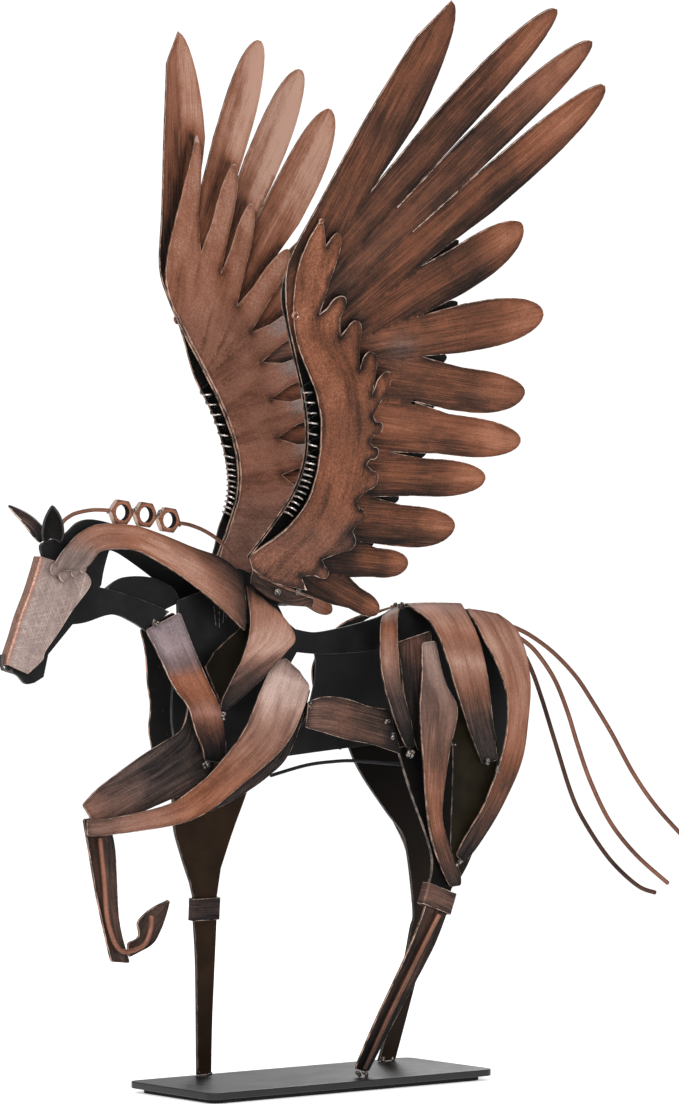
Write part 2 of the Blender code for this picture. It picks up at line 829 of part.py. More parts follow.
def vane(name, side, points, lift, material, spacing=40):
    """A sheet cut to an outline and bent to the wing's surface."""
    low_x = min(x for x, z in points)
    high_x = max(x for x, z in points)
    low_z = min(z for x, z in points)
    high_z = max(z for x, z in points)
    filling = []
    for i in range(int((high_x - low_x) / spacing) + 1):
        for k in range(int((high_z - low_z) / spacing) + 1):
            spot = (low_x + spacing * (i + 0.5 * (k % 2)), low_z + spacing * (k + 0.5))
            room = min(math.hypot(spot[0] - x, spot[1] - z) for x, z in points)
            if inside(spot, points) and room > spacing / 4:
                filling.append(spot)
    flat = [Vector(point) for point in points + filling]
    around = list(range(len(points)))
    corners, _, faces, *_ = delaunay_2d_cdt(flat, [], [around], 1, 1e-4)
    mesh = bpy.data.meshes.new(name)
    spots = [place(x, side * (wing_out(x, z) + lift(x, z)), z) for x, z in corners]
    mesh.from_pydata(spots, [], faces)
    mesh.shade_smooth()
    sheet = bpy.data.objects.new(name, mesh)
    thicken(sheet, SHEET)
    return finish(sheet, material)


LEADING_EDGE_LOW = [
    (-56, 298), (-43, 316.5), (-33.5, 333), (-29.6, 350), (-31, 367), (-36.5, 385), (-45.5, 405), (-54, 423),
]
MAIN_LEADING_EDGE = LEADING_EDGE_LOW + [(-60.3, 440), (-62.6, 460), (-51.5, 492), (-35, 538), (-18, 580)]
MAIN_FEATHERS = [
    ((65, 598), (-3, 490), 12.6, 10.4),
    ((93, 582), (10, 477), 12.2, 10.6),
    ((109, 559), (19, 458), 10.8, 14.8),
    ((79, 482), (25, 431), 11.5, 16.2),
    ((105, 433), (32, 409), 14.2, 13.4),
    ((103, 389), (33, 384), 9.6, 14.4),
    ((106, 362), (22, 356), 10.2, 12.2),
    ((87, 341), (16, 331), 10, 11.2),
    ((72, 314), (12, 306), 9.6, 13.6),
    ((45, 293), (9, 286), 7.6, 8.8),
    ((30, 266), (-1, 271), 6.8, 6),
]
INNER_LEADING_EDGE = LEADING_EDGE_LOW + [(-62, 443), (-57.5, 465), (-30, 510)]
INNER_FEATHERS = [
    ((14, 522), (-17, 458), 6, 7),
    ((20, 499), (-10, 439), 6, 7),
    ((42, 473), (-3, 424), 6, 7),
    ((50, 439), (1, 407), 6, 7),
    ((50, 409), (3, 386), 6, 7),
    ((52, 386), (3, 364), 6, 7),
    ((48, 356), (2, 343), 6, 7),
    ((35, 330), (-2, 318), 6, 6),
    ((23, 305), (-14, 295), 6, 6),
]
OUTER_LEADING_EDGE = [
    (-58, 298), (-41.5, 315), (-31.5, 331), (-29, 350), (-31.2, 370), (-37, 386), (-45.5, 402), (-52.5, 421),
    (-57, 440), (-57.8, 458), (-55, 472),
]
OUTER_FEATHERS = [
    ((-38, 475), (-39, 431), 4, 5),
    ((-26, 441), (-24, 419), 6, 4),
    ((-15, 428), (-11, 401), 5, 5),
    ((-4, 411), (-1, 388), 5, 5),
    ((9, 400), (2, 376), 5, 4),
    ((10, 369), (3, 362), 3.5, 3.5),
    ((10, 355), (3, 349), 3.5, 3.5),
    ((12, 343), (0, 329), 4, 6),
    ((7, 320), (1, 312), 4, 4),
    ((6, 305), (-12, 296), 5, 4),
    ((-7, 287), (-24, 287), 4, 3),
]


COVERT_SHARES = (0.4, 0.75, 0.94)


def feathers(start, rows, blunt=2.2, shares=(0.3, 0.6, 0.82, 0.95)):
    points = []
    before = start
    for tip, after, left, right in rows:
        points += feather(before, tip, after, left, right, blunt, shares)
        before = after
    return points


def make_wing(word, side):
    """Main feathers, an inner and an outer row of coverts, the spring in their leading edge and a bracket."""
    first = feather((-57, 441), (-2, 599.6), (-22, 498), 11, 16.6, 2.0)
    main = MAIN_LEADING_EDGE + first[first.index((-2, 599.6)):]
    main += feathers((-22, 498), MAIN_FEATHERS) + [(-18, 277), (-40, 284), (-53, 293)]
    vane(f"{word}_wing_main_feathers", side, main, main_lift, COPPER)

    first = feather((-57, 468), (-12, 538), (-30, 469), 8, 7, 2.0)
    inner = INNER_LEADING_EDGE + first[first.index((-12, 538)):]
    inner += feathers((-30, 469), INNER_FEATHERS, 1.8, COVERT_SHARES) + [(-40, 287), (-53, 294)]
    vane(f"{word}_wing_inner_coverts", side, inner, inner_lift, COPPER)

    first = feather((-57, 450), (-51, 481), (-44, 468), 4, 5, 2.0)
    outer = OUTER_LEADING_EDGE + first[first.index((-51, 481)):]
    outer += feathers((-44, 468), OUTER_FEATHERS, 2.4, COVERT_SHARES) + [(-19, 279), (-40, 283), (-55, 291)]
    vane(f"{word}_wing_outer_coverts", side, outer, outer_lift, COPPER, spacing=20)

    make_spring(f"{word}_wing_spring", side)
    make_bracket(f"{word}_wing_bracket", side)


BRACKET_STATIONS = [
    (-53, 284, 291, -43, 1.7),
    (-46, 279, 286.2, -40, 1.7),
    (-38, 274.5, 283, -34, 1.7),
    (-26, 271.5, 278.6, -26, 1.7),
    (-12, 270.2, 274.4, -12, 8),
]
SPRING_GUIDE = [(-41, 393), (-35, 381), (-31, 367), (-29, 350), (-31.5, 334), (-39, 319)]
LOOSE_PITCH, DENSE_PITCH = 7.0, 3.5
DENSE_TOP = 352
COIL_POINTS = 5


def make_spring(name, side):
    """A coil along the leading edge, with open turns above and close turns below."""
    guide = smooth(SPRING_GUIDE, 8)
    radius = (SPRING_DIAMETER - SPRING_WIRE) / 2 / UNIT
    middle_lift = (COVERT_GAP + SPRING_ROOM) / 2
    route = []
    angle = 0.0
    for (x1, z1), (x2, z2) in zip(guide, guide[1:]):
        length = math.hypot(x2 - x1, z2 - z1)
        slant = math.atan2(z2 - z1, x2 - x1)
        done = 0.0
        while done < length:
            x = x1 + (x2 - x1) * done / length
            z = z1 + (z2 - z1) * done / length
            pitch = LOOSE_PITCH if z > DENSE_TOP else DENSE_PITCH
            swing = radius * math.cos(angle)
            out = wing_out(x, z) + middle_lift + side * radius * math.sin(angle)
            route.append((x - swing * math.sin(slant), side * out, z + swing * math.cos(slant)))
            angle += 2 * math.pi / COIL_POINTS
            done += pitch / COIL_POINTS
    wire(name, route, SPRING_WIRE, SPRING_STEEL, steps=1, resolution=0)


def make_bracket(name, side):
    """The folded strip that carries the wing's root on the back plate."""
    grid = []
    for x, low, high, inner_x, inner_y in BRACKET_STATIONS:
        inner = place(inner_x, side * inner_y, low)
        bend = place(x, side * (wing_out(x, low) - 0.5), low)
        flange = place(x, side * wing_out(x, high), high)
        grid.append([inner, bend, flange])
    sheet_from_grid(name, grid, DARK_COPPER)


make_base()
make_skeleton()
make_head()
make_neck()
make_front()
make_middle()
make_haunch()
make_tail()
for side_word, side_sign in SIDES.items():
    make_wing(side_word, side_sign)
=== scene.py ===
import math
import random

import bmesh
import bpy
import numpy as np
from mathutils import Matrix, Vector, noise
from mathutils.geometry import delaunay_2d_cdt


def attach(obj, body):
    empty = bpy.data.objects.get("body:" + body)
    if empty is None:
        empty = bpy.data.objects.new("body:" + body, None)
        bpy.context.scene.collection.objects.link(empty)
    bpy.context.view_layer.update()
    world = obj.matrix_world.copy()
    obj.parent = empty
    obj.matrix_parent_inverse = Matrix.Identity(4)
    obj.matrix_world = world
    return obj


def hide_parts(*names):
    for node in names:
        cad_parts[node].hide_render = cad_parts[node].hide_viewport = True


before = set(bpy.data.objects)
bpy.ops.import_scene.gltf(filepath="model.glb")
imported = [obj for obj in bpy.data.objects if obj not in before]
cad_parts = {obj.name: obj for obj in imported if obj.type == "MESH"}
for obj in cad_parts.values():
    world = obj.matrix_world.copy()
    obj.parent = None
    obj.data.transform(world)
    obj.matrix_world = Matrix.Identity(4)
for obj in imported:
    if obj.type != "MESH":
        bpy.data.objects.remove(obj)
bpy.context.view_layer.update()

# The metal's sizes, in metres, as in the part
FIGURE_HEIGHT = 0.593
BASE_LENGTH = 0.200
BASE_WIDTH = 0.079
BASE_THICKNESS = 0.0042
BASE_CORNER = 0.006
PAD_THICKNESS = 0.0024
PAD_INSET = 0.005
SKELETON = 0.0020
SHEET = 0.0012
WELD_GAP = 0.0003
MANE_WIRE = 0.0022
BELLY_WIRE = 0.0020
TAIL_ROD = 0.0026
LEG_ROD = 0.0028
SPRING_WIRE = 0.0011
SPRING_DIAMETER = 0.0080
NUT_ACROSS_FLATS = 0.0132
NUT_BORE = 0.0083
NUT_THICKNESS = 0.0042
THROAT_BAND_ROOM = 0.0004

# The figure's proportions, in units: its height over the soles is FIGURE_UNITS of them
FIGURE_UNITS = 593.0
SOLE = 6.6
UNIT = FIGURE_HEIGHT / FIGURE_UNITS
BASE_TOP = PAD_THICKNESS + BASE_THICKNESS
STRAP_SEAT = SKELETON / 2 + WELD_GAP + SHEET / 2
NOSE_HALF_WIDTH = 2.8
LEFT, RIGHT = -1, 1
SIDES = {"left": LEFT, "right": RIGHT}

# The wing's middle surface: how far out it stands, from its root
WING_ROOT = (-55.0, 15.2, 298.0)
WING_LEAN = 0.2188
WING_CURL = 0.0004
WING_SPREAD = 0.147
COVERT_GAP = 2.5
SPRING_ROOM = 8.8
HOLLOW_FOOT, HOLLOW_TOP = 296.0, 428.0

# The finish's own sizes, in metres
ROUNDING = 0.00022
EDGE_ROWS = (0.0, 0.0005, 0.0013, 0.0026)
ROW_PITCH = 0.0022
CORNER_ROUND = 0.0014
SMALLEST_BORE = 0.0004
FOLD_ANGLE = math.radians(50)


def place(x, y, z):
    """A point of the figure, from units to metres."""
    return Vector((x * UNIT, y * UNIT, BASE_TOP + (z - SOLE) * UNIT))


def smooth(rows, steps):
    """Rows of numbers run through by a smooth curve, cut into this many steps a span."""
    result = []
    last = len(rows) - 1
    for i in range(last):
        near = rows[max(i - 1, 0)], rows[i], rows[i + 1], rows[min(i + 2, last)]
        for t in (k / steps for k in range(steps)):
            result.append(tuple(
                b + 0.5 * t * (c - a + t * (2 * a - 5 * b + 4 * c - d + t * (3 * (b - c) + d - a)))
                for a, b, c, d in zip(*near)
            ))
    return result + [tuple(rows[last])]


def ease(x, low, high):
    """0 below low, 1 above high and smooth between."""
    t = np.clip((np.asarray(x, dtype=float) - low) / (high - low), 0, 1)
    return t * t * (3 - 2 * t)


def along_stops(share, stops):
    """A value along a piece, from a run of share, value, share, value and so on."""
    return float(np.interp(share, stops[::2], stops[1::2]))


# Shader nodes


class Nodes:
    """Short ways to add nodes to a tree and to join them."""

    def __init__(self, tree):
        self.tree = tree

    def feed(self, sockets, values):
        """Links or sets sockets, named or numbered. A colour of three numbers gets its fourth."""
        for key, value in values.items():
            socket = sockets[key]
            if isinstance(value, bpy.types.NodeSocket):
                self.tree.links.new(value, socket)
            elif isinstance(value, tuple) and len(value) < len(socket.default_value):
                socket.default_value = (*value, 1.0)
            else:
                socket.default_value = value

    def node(self, kind, inputs=None, **settings):
        made = self.tree.nodes.new(kind)
        for key, value in settings.items():
            setattr(made, key, value)
        self.feed(made.inputs, inputs or {})
        return made.outputs

    def group(self, tree, **inputs):
        return self.node("ShaderNodeGroup", inputs, node_tree=tree)

    def math(self, operation, a, b, clamp=False):
        return self.node("ShaderNodeMath", {0: a, 1: b}, operation=operation, use_clamp=clamp)[0]

    def plus(self, first, *others):
        for other in others:
            first = self.math("ADD", first, other)
        return first

    def minus(self, first, *others):
        for other in others:
            first = self.math("SUBTRACT", first, other)
        return first

    def times(self, a, b):
        return self.math("MULTIPLY", a, b)

    def scaled(self, vector, scale):
        return self.node("ShaderNodeVectorMath", {0: vector, 1: scale}, operation="MULTIPLY")[0]

    def noise(self, vector, scale=1.0, detail=2.0, roughness=0.5):
        inputs = {"Vector": vector, "Scale": scale, "Detail": detail, "Roughness": roughness}
        return self.node("ShaderNodeTexNoise", inputs)["Fac"]

    def ranged(self, value, low, high, to_low=0.0, to_high=1.0):
        inputs = dict(enumerate((value, low, high, to_low, to_high)))
        return self.node("ShaderNodeMapRange", inputs, interpolation_type="SMOOTHSTEP")[0]

    def mixed(self, factor, a, b):
        return self.node("ShaderNodeMix", {0: factor, 6: a, 7: b}, data_type="RGBA")[2]

    def attribute(self, name):
        return self.node("ShaderNodeAttribute", attribute_name=name)["Fac"]

    def where(self):
        return self.node("ShaderNodeTexCoord")["Object"]

    def bumped(self, height, strength, distance=0.0001):
        inputs = {"Strength": strength, "Distance": distance, "Height": height}
        return self.node("ShaderNodeBump", inputs)["Normal"]

    def color_steps(self, value, steps):
        ramp = self.tree.nodes.new("ShaderNodeValToRGB")
        stops = ramp.color_ramp.elements
        while len(stops) < len(steps):
            stops.new(0.5)
        for stop, (at, color) in zip(stops, steps):
            stop.position = at
            stop.color = (*color, 1.0)
        self.feed(ramp.inputs, {"Fac": value})
        return ramp.outputs["Color"]


def new_group(name, inputs, outputs):
    """A node group: its inputs are named with their kinds, and its outputs are masks."""
    group = bpy.data.node_groups.new(name, "ShaderNodeTree")
    for socket, kind in inputs.items():
        group.interface.new_socket(name=socket, in_out="INPUT", socket_type=f"NodeSocket{kind}")
    for socket in outputs:
        group.interface.new_socket(name=socket, in_out="OUTPUT", socket_type="NodeSocketFloat")
    return Nodes(group), group.nodes.new("NodeGroupInput").outputs, group.nodes.new("NodeGroupOutput").inputs


def make_brush_group():
    """Brush strokes from 0 to 1: fine hairs, wider hairs, broad streaks, thin scratches and crossed hairs."""
    masks = {
        "Fine": ((5200, 95, 900), 2.0, 0.6, 0.3, 0.7),
        "Hairs": ((2100, 48, 900), 3.0, 0.6, 0.3, 0.7),
        "Broad": ((420, 16, 300), 2.0, 0.5, 0.3, 0.7),
        "Scratches": ((3800, 30, 300), 1.0, 0.5, 0.64, 0.74),
    }
    n, given, result = new_group("brush_strokes", {"Strokes": "Vector"}, [*masks, "Crossed"])
    strokes = given["Strokes"]
    drift = n.noise(n.scaled(strokes, (45, 22, 45)), detail=1.0)
    inputs = {0: (0.0011, 0.0, 0.0), 1: drift, 2: strokes}
    shifted = n.node("ShaderNodeVectorMath", inputs, operation="MULTIPLY_ADD")[0]
    for mask, (scale, detail, roughness, low, high) in masks.items():
        hairs = n.noise(n.scaled(shifted, scale), detail=detail, roughness=roughness)
        n.feed(result, {mask: n.ranged(hairs, low, high)})
    crossed = []
    for angle in (62, -50):
        inputs = {"Vector": strokes, "Angle": math.radians(angle)}
        turned = n.node("ShaderNodeVectorRotate", inputs, rotation_type="Z_AXIS")[0]
        crossed.append(n.noise(n.scaled(turned, (3400, 130, 700)), roughness=0.6))
    n.feed(result, {"Crossed": n.ranged(n.math("MAXIMUM", *crossed), 0.42, 0.68)})
    return n.tree


def make_edge_group():
    """Bare metal along an edge, broken up, from the distance to that edge."""
    inputs = {"Rim": "Float", "Place": "Vector", "Width": "Float"}
    n, given, result = new_group("bare_edge", inputs, ["Bare"])
    broken = n.noise(given["Place"], scale=170.0, detail=4.0, roughness=0.65)
    reach = n.times(given["Width"], n.ranged(broken, 0.38, 0.66, 0.1, 1.8))
    n.feed(result, {"Bare": n.ranged(n.math("DIVIDE", given["Rim"], reach), 0.5, 1.2, 1.0, 0.0)})
    return n.tree


def make_uneven_group():
    """Uneven paint: soft clouds of smoke, a sponged grain, and grime in small spots."""
    masks = {
        "Clouds": (42.0, 4.0, 0.6, 0.34, 0.68),
        "Grain": (900.0, 2.0, 0.6, 0.3, 0.7),
        "Spots": (430.0, 3.0, 0.65, 0.60, 0.74),
    }
    n, given, result = new_group("uneven_paint", {"Place": "Vector"}, masks)
    for mask, (scale, detail, roughness, low, high) in masks.items():
        n.feed(result, {mask: n.ranged(n.noise(given["Place"], scale, detail, roughness), low, high)})
    return n.tree


BRUSH = make_brush_group()
BARE_EDGE = make_edge_group()
UNEVEN = make_uneven_group()

# The paint from darkest to brightest, brushed copper and greyed
COPPER_STEPS = (
    (0.0, (0.004, 0.004, 0.004)), (0.20, (0.020, 0.0092, 0.0060)), (0.40, (0.075, 0.0285, 0.0150)),
    (0.60, (0.195, 0.067, 0.0325)), (0.80, (0.385, 0.155, 0.088)), (1.0, (0.640, 0.365, 0.265)),
)
GREYED_STEPS = (
    (0.0, (0.005, 0.005, 0.005)), (0.20, (0.022, 0.020, 0.020)), (0.40, (0.070, 0.056, 0.052)),
    (0.60, (0.185, 0.140, 0.128)), (0.80, (0.380, 0.290, 0.262)), (1.0, (0.680, 0.560, 0.520)),
)
PURPLED_STEPS = tuple((at, (red, green, blue * 1.16)) for at, (red, green, blue) in GREYED_STEPS)
BARE_METAL = (0.68, 0.50, 0.41)
COPPER_DUST = (0.12, 0.060, 0.038)
DEEP_BLACK = (0.004, 0.004, 0.004)
DEEP_BROWN = (0.0026, 0.0022, 0.0020)


def new_material(name):
    material = bpy.data.materials.new(name)
    material.use_nodes = True
    return material, Nodes(material.node_tree), material.node_tree.nodes["Principled BSDF"].inputs


def brushed(
    name, crossing=0.0, edge=0.00026, depth=1.0, metallic=0.5, smoke=1.0, face="tone", greys=GREYED_STEPS,
    coarse=1.0, sponged=0.07,
):
    """Copper paint brushed over black, and smoked. The mesh says where it is full (tone) and where greyed;
    both also carry painted highlights and painted shade.
    """
    material, n, shader = new_material(name)
    strokes, where = n.node("ShaderNodeUVMap", uv_map="strokes")["UV"], n.where()
    brush = n.group(BRUSH, Strokes=n.scaled(strokes, (1 / coarse, 1 / coarse, 1.0)))
    paint = n.group(UNEVEN, Place=where)
    tone, rim = n.attribute(face), n.attribute("rim")
    hairs = n.plus(n.times(brush["Hairs"], 1.0 - crossing), n.times(brush["Crossed"], crossing))
    swing = n.plus(n.times(hairs, 0.20), n.times(brush["Fine"], 0.12), n.times(brush["Broad"], 0.10))
    swing = n.times(n.minus(swing, 0.21), n.ranged(tone, 0.40, 0.80, depth, depth * 0.42))
    grain = n.times(n.minus(paint["Grain"], 0.5), sponged)
    clouds = n.times(paint["Clouds"], n.ranged(tone, 0.25, 0.95, 0.14 * smoke, 0.07 * smoke))
    wiped = n.noise(n.scaled(strokes, (95.0, 17.0, 1.0)), detail=3.0, roughness=0.6)
    wiped = n.times(n.ranged(wiped, 0.46, 0.72), 0.16 * smoke)
    # smoked darker along the rim
    smoked_rim_and_lit_coil = n.ranged(rim, 0.0003, 0.0034, 0.10 * smoke, 0.0)
    value = n.minus(n.plus(tone, swing, grain), n.plus(clouds, wiped), n.times(paint["Spots"], 0.07), smoked_rim_and_lit_coil)
    value = n.math("ADD", value, n.times(brush["Scratches"], 0.10 * depth), clamp=True)
    dulled = n.times(paint["Clouds"], n.ranged(tone, 0.3, 0.75, 0.12, 0.02))
    greyed = n.math("ADD", n.attribute("greyed"), dulled, clamp=True)
    color = n.mixed(greyed, n.color_steps(value, COPPER_STEPS), n.color_steps(value, greys))
    bare = n.group(BARE_EDGE, Rim=rim, Place=where, Width=edge)["Bare"]
    bare = n.times(bare, n.ranged(tone, 0.05, 0.5, 0.05, 0.8))
    rough = n.plus(0.60, n.times(value, -0.12), n.times(hairs, -0.08))
    n.feed(shader, {
        "Base Color": n.mixed(bare, color, BARE_METAL),
        "Roughness": n.minus(rough, n.times(bare, 0.12)),
        "Metallic": metallic,
        "Specular IOR Level": 0.2,
        "Normal": n.bumped(n.plus(hairs, n.times(brush["Fine"], 0.5)), 0.25),
    })
    return material


def satin_black(
    name, color=(0.0055, 0.0055, 0.0062), rough=0.5, edge=0.0002, glint=(0.14, 0.12, 0.11), shine=0.22,
    dust=0.0, toned=False,
):
    """Sprayed paint with a fine orange-peel skin, rubbed paler along its edges, and dusted with copper."""
    material, n, shader = new_material(name)
    where = n.where()
    paint = n.group(UNEVEN, Place=where)
    shade = n.mixed(paint["Clouds"], color, tuple(min(1.0, part * 1.9 + 0.001) for part in color))
    if toned:
        shade = n.mixed(n.attribute("tone"), DEEP_BROWN, shade)
    if dust:
        brush = n.group(BRUSH, Strokes=n.scaled(where, (1.0, 0.3, 1.0)))
        shade = n.mixed(n.times(n.times(brush["Crossed"], paint["Spots"]), dust), shade, COPPER_DUST)
    bare = n.group(BARE_EDGE, Rim=n.attribute("rim"), Place=where, Width=edge)["Bare"]
    n.feed(shader, {
        "Base Color": n.mixed(n.times(bare, 0.6), shade, glint),
        "Roughness": n.ranged(paint["Clouds"], 0.0, 1.0, rough - 0.05, rough + 0.08),
        "Specular IOR Level": shine,
        "Normal": n.bumped(n.noise(where, scale=1900.0, detail=1.0), 0.12),
    })
    return material


def plain_metal(name, dark, light, rough, metallic, scale=900.0, depth=0.0001, painted=False):
    """Metal with a mottled skin, for cut edges, welds, springs and bolts. When painted is set, the mesh's
    tone darkens it to black as painted shade.
    """
    material, n, shader = new_material(name)
    mottle = n.noise(n.where(), scale=scale, detail=3.0, roughness=0.6)
    color = n.mixed(n.ranged(mottle, 0.36, 0.64), dark, light)
    # painted shade: black where the mesh's tone is low
    if painted:
        color = n.mixed(n.attribute("tone"), DEEP_BLACK, color)
    n.feed(shader, {
        "Base Color": color,
        "Roughness": n.ranged(mottle, 0.3, 0.7, rough + 0.1, rough - 0.08),
        "Metallic": metallic,
        "Normal": n.bumped(mottle, 0.3, depth),
    })
    return material


COPPER = brushed("brushed_copper", coarse=1.5)
CROSS_COPPER = brushed("cross_brushed_copper", crossing=0.4, greys=PURPLED_STEPS, coarse=1.5)
WING_OUTER = brushed("wing_copper", coarse=1.5)
WING_INNER = brushed("wing_inner_copper", depth=1.4, face="tone_inner", coarse=1.3)
COVERT_COPPER = brushed("covert_copper", depth=0.5, smoke=1.3, sponged=0.16)
COVERT_INNER = brushed("covert_inner_copper", depth=0.6, smoke=1.1, sponged=0.12, face="tone_inner")
FACE_SILVER = brushed(
    "cross_brushed_silver", crossing=1.0, edge=0.0005, depth=1.7, metallic=0.6, smoke=0.3, coarse=1.6
)
ROD_COPPER = brushed("rod_copper", edge=0.00001, depth=0.7)
INNER_BLACK = satin_black("black_inside", color=(0.0035, 0.0032, 0.003), rough=0.65, dust=0.6, shine=0.15)
FRAME_BLACK = satin_black("satin_black", shine=0.16)
BASE_BLACK = satin_black("base_black", color=(0.006, 0.0055, 0.0055), rough=0.34, shine=0.34)
PAD_BLACK = satin_black("pad_black", color=(0.008, 0.008, 0.008), rough=0.75)
DARK_OLIVE = satin_black(
    "dark_olive", color=(0.0122, 0.0062, 0.0028), edge=0.0003, glint=(0.30, 0.17, 0.11), shine=0.07
)
THIGH_OLIVE, THIGH_BROWN = (
    satin_black(name, color, rough=0.55, edge=0.0003, glint=(0.16, 0.13, 0.11), shine=0.08, toned=True)
    for name, color in (("thigh_olive", (0.0078, 0.0058, 0.0027)), ("thigh_brown", (0.0095, 0.0052, 0.0030)))
)
CUT_EDGE = plain_metal("cut_edge", (0.040, 0.024, 0.017), (0.42, 0.25, 0.18), 0.42, 0.6, scale=160.0)
DIM_EDGE = plain_metal("dim_edge", (0.010, 0.008, 0.007), (0.16, 0.12, 0.10), 0.42, 0.5, scale=160.0)
BLACK_EDGE = plain_metal("black_edge", DEEP_BLACK, (0.018, 0.016, 0.015), 0.5, 0.1, scale=160.0)
WELD_STEEL = plain_metal(
    "weld_steel", (0.012, 0.011, 0.012), (0.26, 0.22, 0.20), 0.32, 0.8, scale=700.0, depth=0.0003
)
# The spring's inner half-turns are painted black as shade, by the mesh's tone
SPRING_STEEL = plain_metal(
    "spring_steel", (0.16, 0.14, 0.13), (0.62, 0.54, 0.50), 0.30, 0.8, scale=300.0, painted=True
)
BOLT_COPPER = plain_metal("bolt_copper", (0.12, 0.050, 0.030), (0.50, 0.28, 0.20), 0.34, 0.6)

# A sheet's outer face, its inner face and its cut edge
COPPER_SHEET = (COPPER, INNER_BLACK, CUT_EDGE)
CROSS_SHEET = (CROSS_COPPER, INNER_BLACK, CUT_EDGE)
FACE_SHEET = (FACE_SILVER, INNER_BLACK, CUT_EDGE)
EAR_SHEET = (INNER_BLACK, COPPER, BLACK_EDGE)
BLACK_SHEET = (FRAME_BLACK, FRAME_BLACK, BLACK_EDGE)
LEG_SHEET = (DARK_OLIVE, DARK_OLIVE, BLACK_EDGE)
THIGH_SHEET = (THIGH_OLIVE, THIGH_OLIVE, DIM_EDGE)
HIND_LEG_SHEET = (INNER_BLACK, THIGH_BROWN, BLACK_EDGE)
KNEE_SHEET = (COPPER, INNER_BLACK, BLACK_EDGE)
LEAF_SHEET = (THIGH_OLIVE, THIGH_OLIVE, CUT_EDGE)
SEAM_SHEET = (DIM_EDGE, DIM_EDGE, DIM_EDGE)


# Mesh making


def add_to_scene(name, data):
    thing = bpy.data.objects.new(name, data)
    bpy.context.scene.collection.objects.link(thing)
    return thing


def stands_for(piece, *nodes):
    """The piece rides on the statue and is shown in place of these nodes of the part."""
    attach(piece, "root")
    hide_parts(*nodes)


def belongs_to(piece):
    """A small piece that rides on the statue."""
    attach(piece, "root")


def modify(thing, name, kind, **settings):
    modifier = thing.modifiers.new(name, kind)
    for key, value in settings.items():
        setattr(modifier, key, value)


def formed(name, form, material):
    """A mesh in one material from a finished form."""
    mesh = bpy.data.meshes.new(name)
    form.to_mesh(mesh)
    form.free()
    mesh.materials.append(material)
    mesh.shade_smooth()
    return mesh


def read_out(items, what, kind, width):
    values = np.empty(len(items) * width, dtype=kind)
    items.foreach_get(what, values)
    return values.reshape(-1, width)


def net(rows, wide, rows_close=False, wide_closes=False):
    """The faces between rows of points, this many wide. The rows and their ends can close to rings."""
    faces = []
    for i in range(rows if rows_close else rows - 1):
        j = (i + 1) % rows
        for k in range(wide if wide_closes else wide - 1):
            n = (k + 1) % wide
            faces.append((i * wide + k, i * wide + n, j * wide + n, j * wide + k))
    return faces


def rounded_box(half_x, half_y, radius, steps):
    """The outline of a box with round corners."""
    ring = []
    for x, y, start in ((1, 1, 0), (-1, 1, 90), (-1, -1, 180), (1, -1, 270)):
        for k in range(steps + 1):
            angle = math.radians(start + 90 * k / steps)
            ring.append((
                x * (half_x - radius) + radius * math.cos(angle),
                y * (half_y - radius) + radius * math.sin(angle),
            ))
    return ring


def skin(name, faces, materials, points, strokes, rim, tone, greyed, outward=None, tone_inner=None):
    """A mesh with what its paint needs: stroke places, distance to its edge, tone and greyness."""
    mesh = bpy.data.meshes.new(name)
    mesh.from_pydata([tuple(point) for point in points], [], faces)
    if outward is not None:
        total = sum((face.normal * face.area for face in mesh.polygons), Vector())
        if total.dot(outward) < 0:
            mesh.flip_normals()
    mesh.shade_smooth()
    corners = read_out(mesh.loops, "vertex_index", np.int32, 1)[:, 0]
    if isinstance(strokes[0], dict):
        owner = np.repeat(np.arange(len(mesh.polygons)), [len(face.vertices) for face in mesh.polygons])
        strokes = np.array([strokes[face][corner] for face, corner in zip(owner, corners)], dtype=np.float32)
    else:
        strokes = np.asarray(strokes, dtype=np.float32)[corners]
    mesh.uv_layers.new(name="strokes").data.foreach_set("uv", strokes.ravel())
    for label, values in (("rim", rim), ("tone", tone), ("greyed", greyed), ("tone_inner", tone_inner)):
        if values is not None:
            data = np.broadcast_to(np.asarray(values, dtype=np.float32), (len(points),))
            mesh.attributes.new(label, "FLOAT", "POINT").data.foreach_set("value", np.ascontiguousarray(data))
    for material in materials:
        mesh.materials.append(material)
    return add_to_scene(name, mesh)


# An outline's corner is sharp where its two edges point more alike than this, and rounding starts off it
SHARP_CORNER = 0.2
ROUND_FROM, ROUND_OVER = 0.0006, 0.002


def edge_rounding(mesh):
    """From 0 to 1 for each edge: a skin's outline is rounded, apart from its sharp notches and tips."""
    places = read_out(mesh.vertices, "co", float, 3)
    used = read_out(mesh.loops, "edge_index", np.int32, 1)[:, 0]
    ends = read_out(mesh.edges, "vertices", np.int32, 2)
    outer = np.flatnonzero(np.bincount(used, minlength=len(ends)) == 1)
    ways = {}
    for edge in outer:
        for corner, other in (ends[edge], ends[edge][::-1]):
            way = places[other] - places[corner]
            ways.setdefault(corner, []).append(way / max(np.linalg.norm(way), 1e-9))
    sharp = [corner for corner, way in ways.items() if len(way) == 2 and way[0] @ way[1] > SHARP_CORNER]
    amount = np.zeros(len(ends))
    middle = places[ends[outer]].mean(axis=1)
    length = np.linalg.norm(places[ends[outer, 0]] - places[ends[outer, 1]], axis=1)
    amount[outer] = np.clip(length / (2.4 * ROUNDING), 0, 1)
    for corner in sharp:
        away = np.linalg.norm(middle - places[corner], axis=1)
        amount[outer] *= np.clip((away - ROUND_FROM) / ROUND_OVER, 0, 1)
    return outer, amount


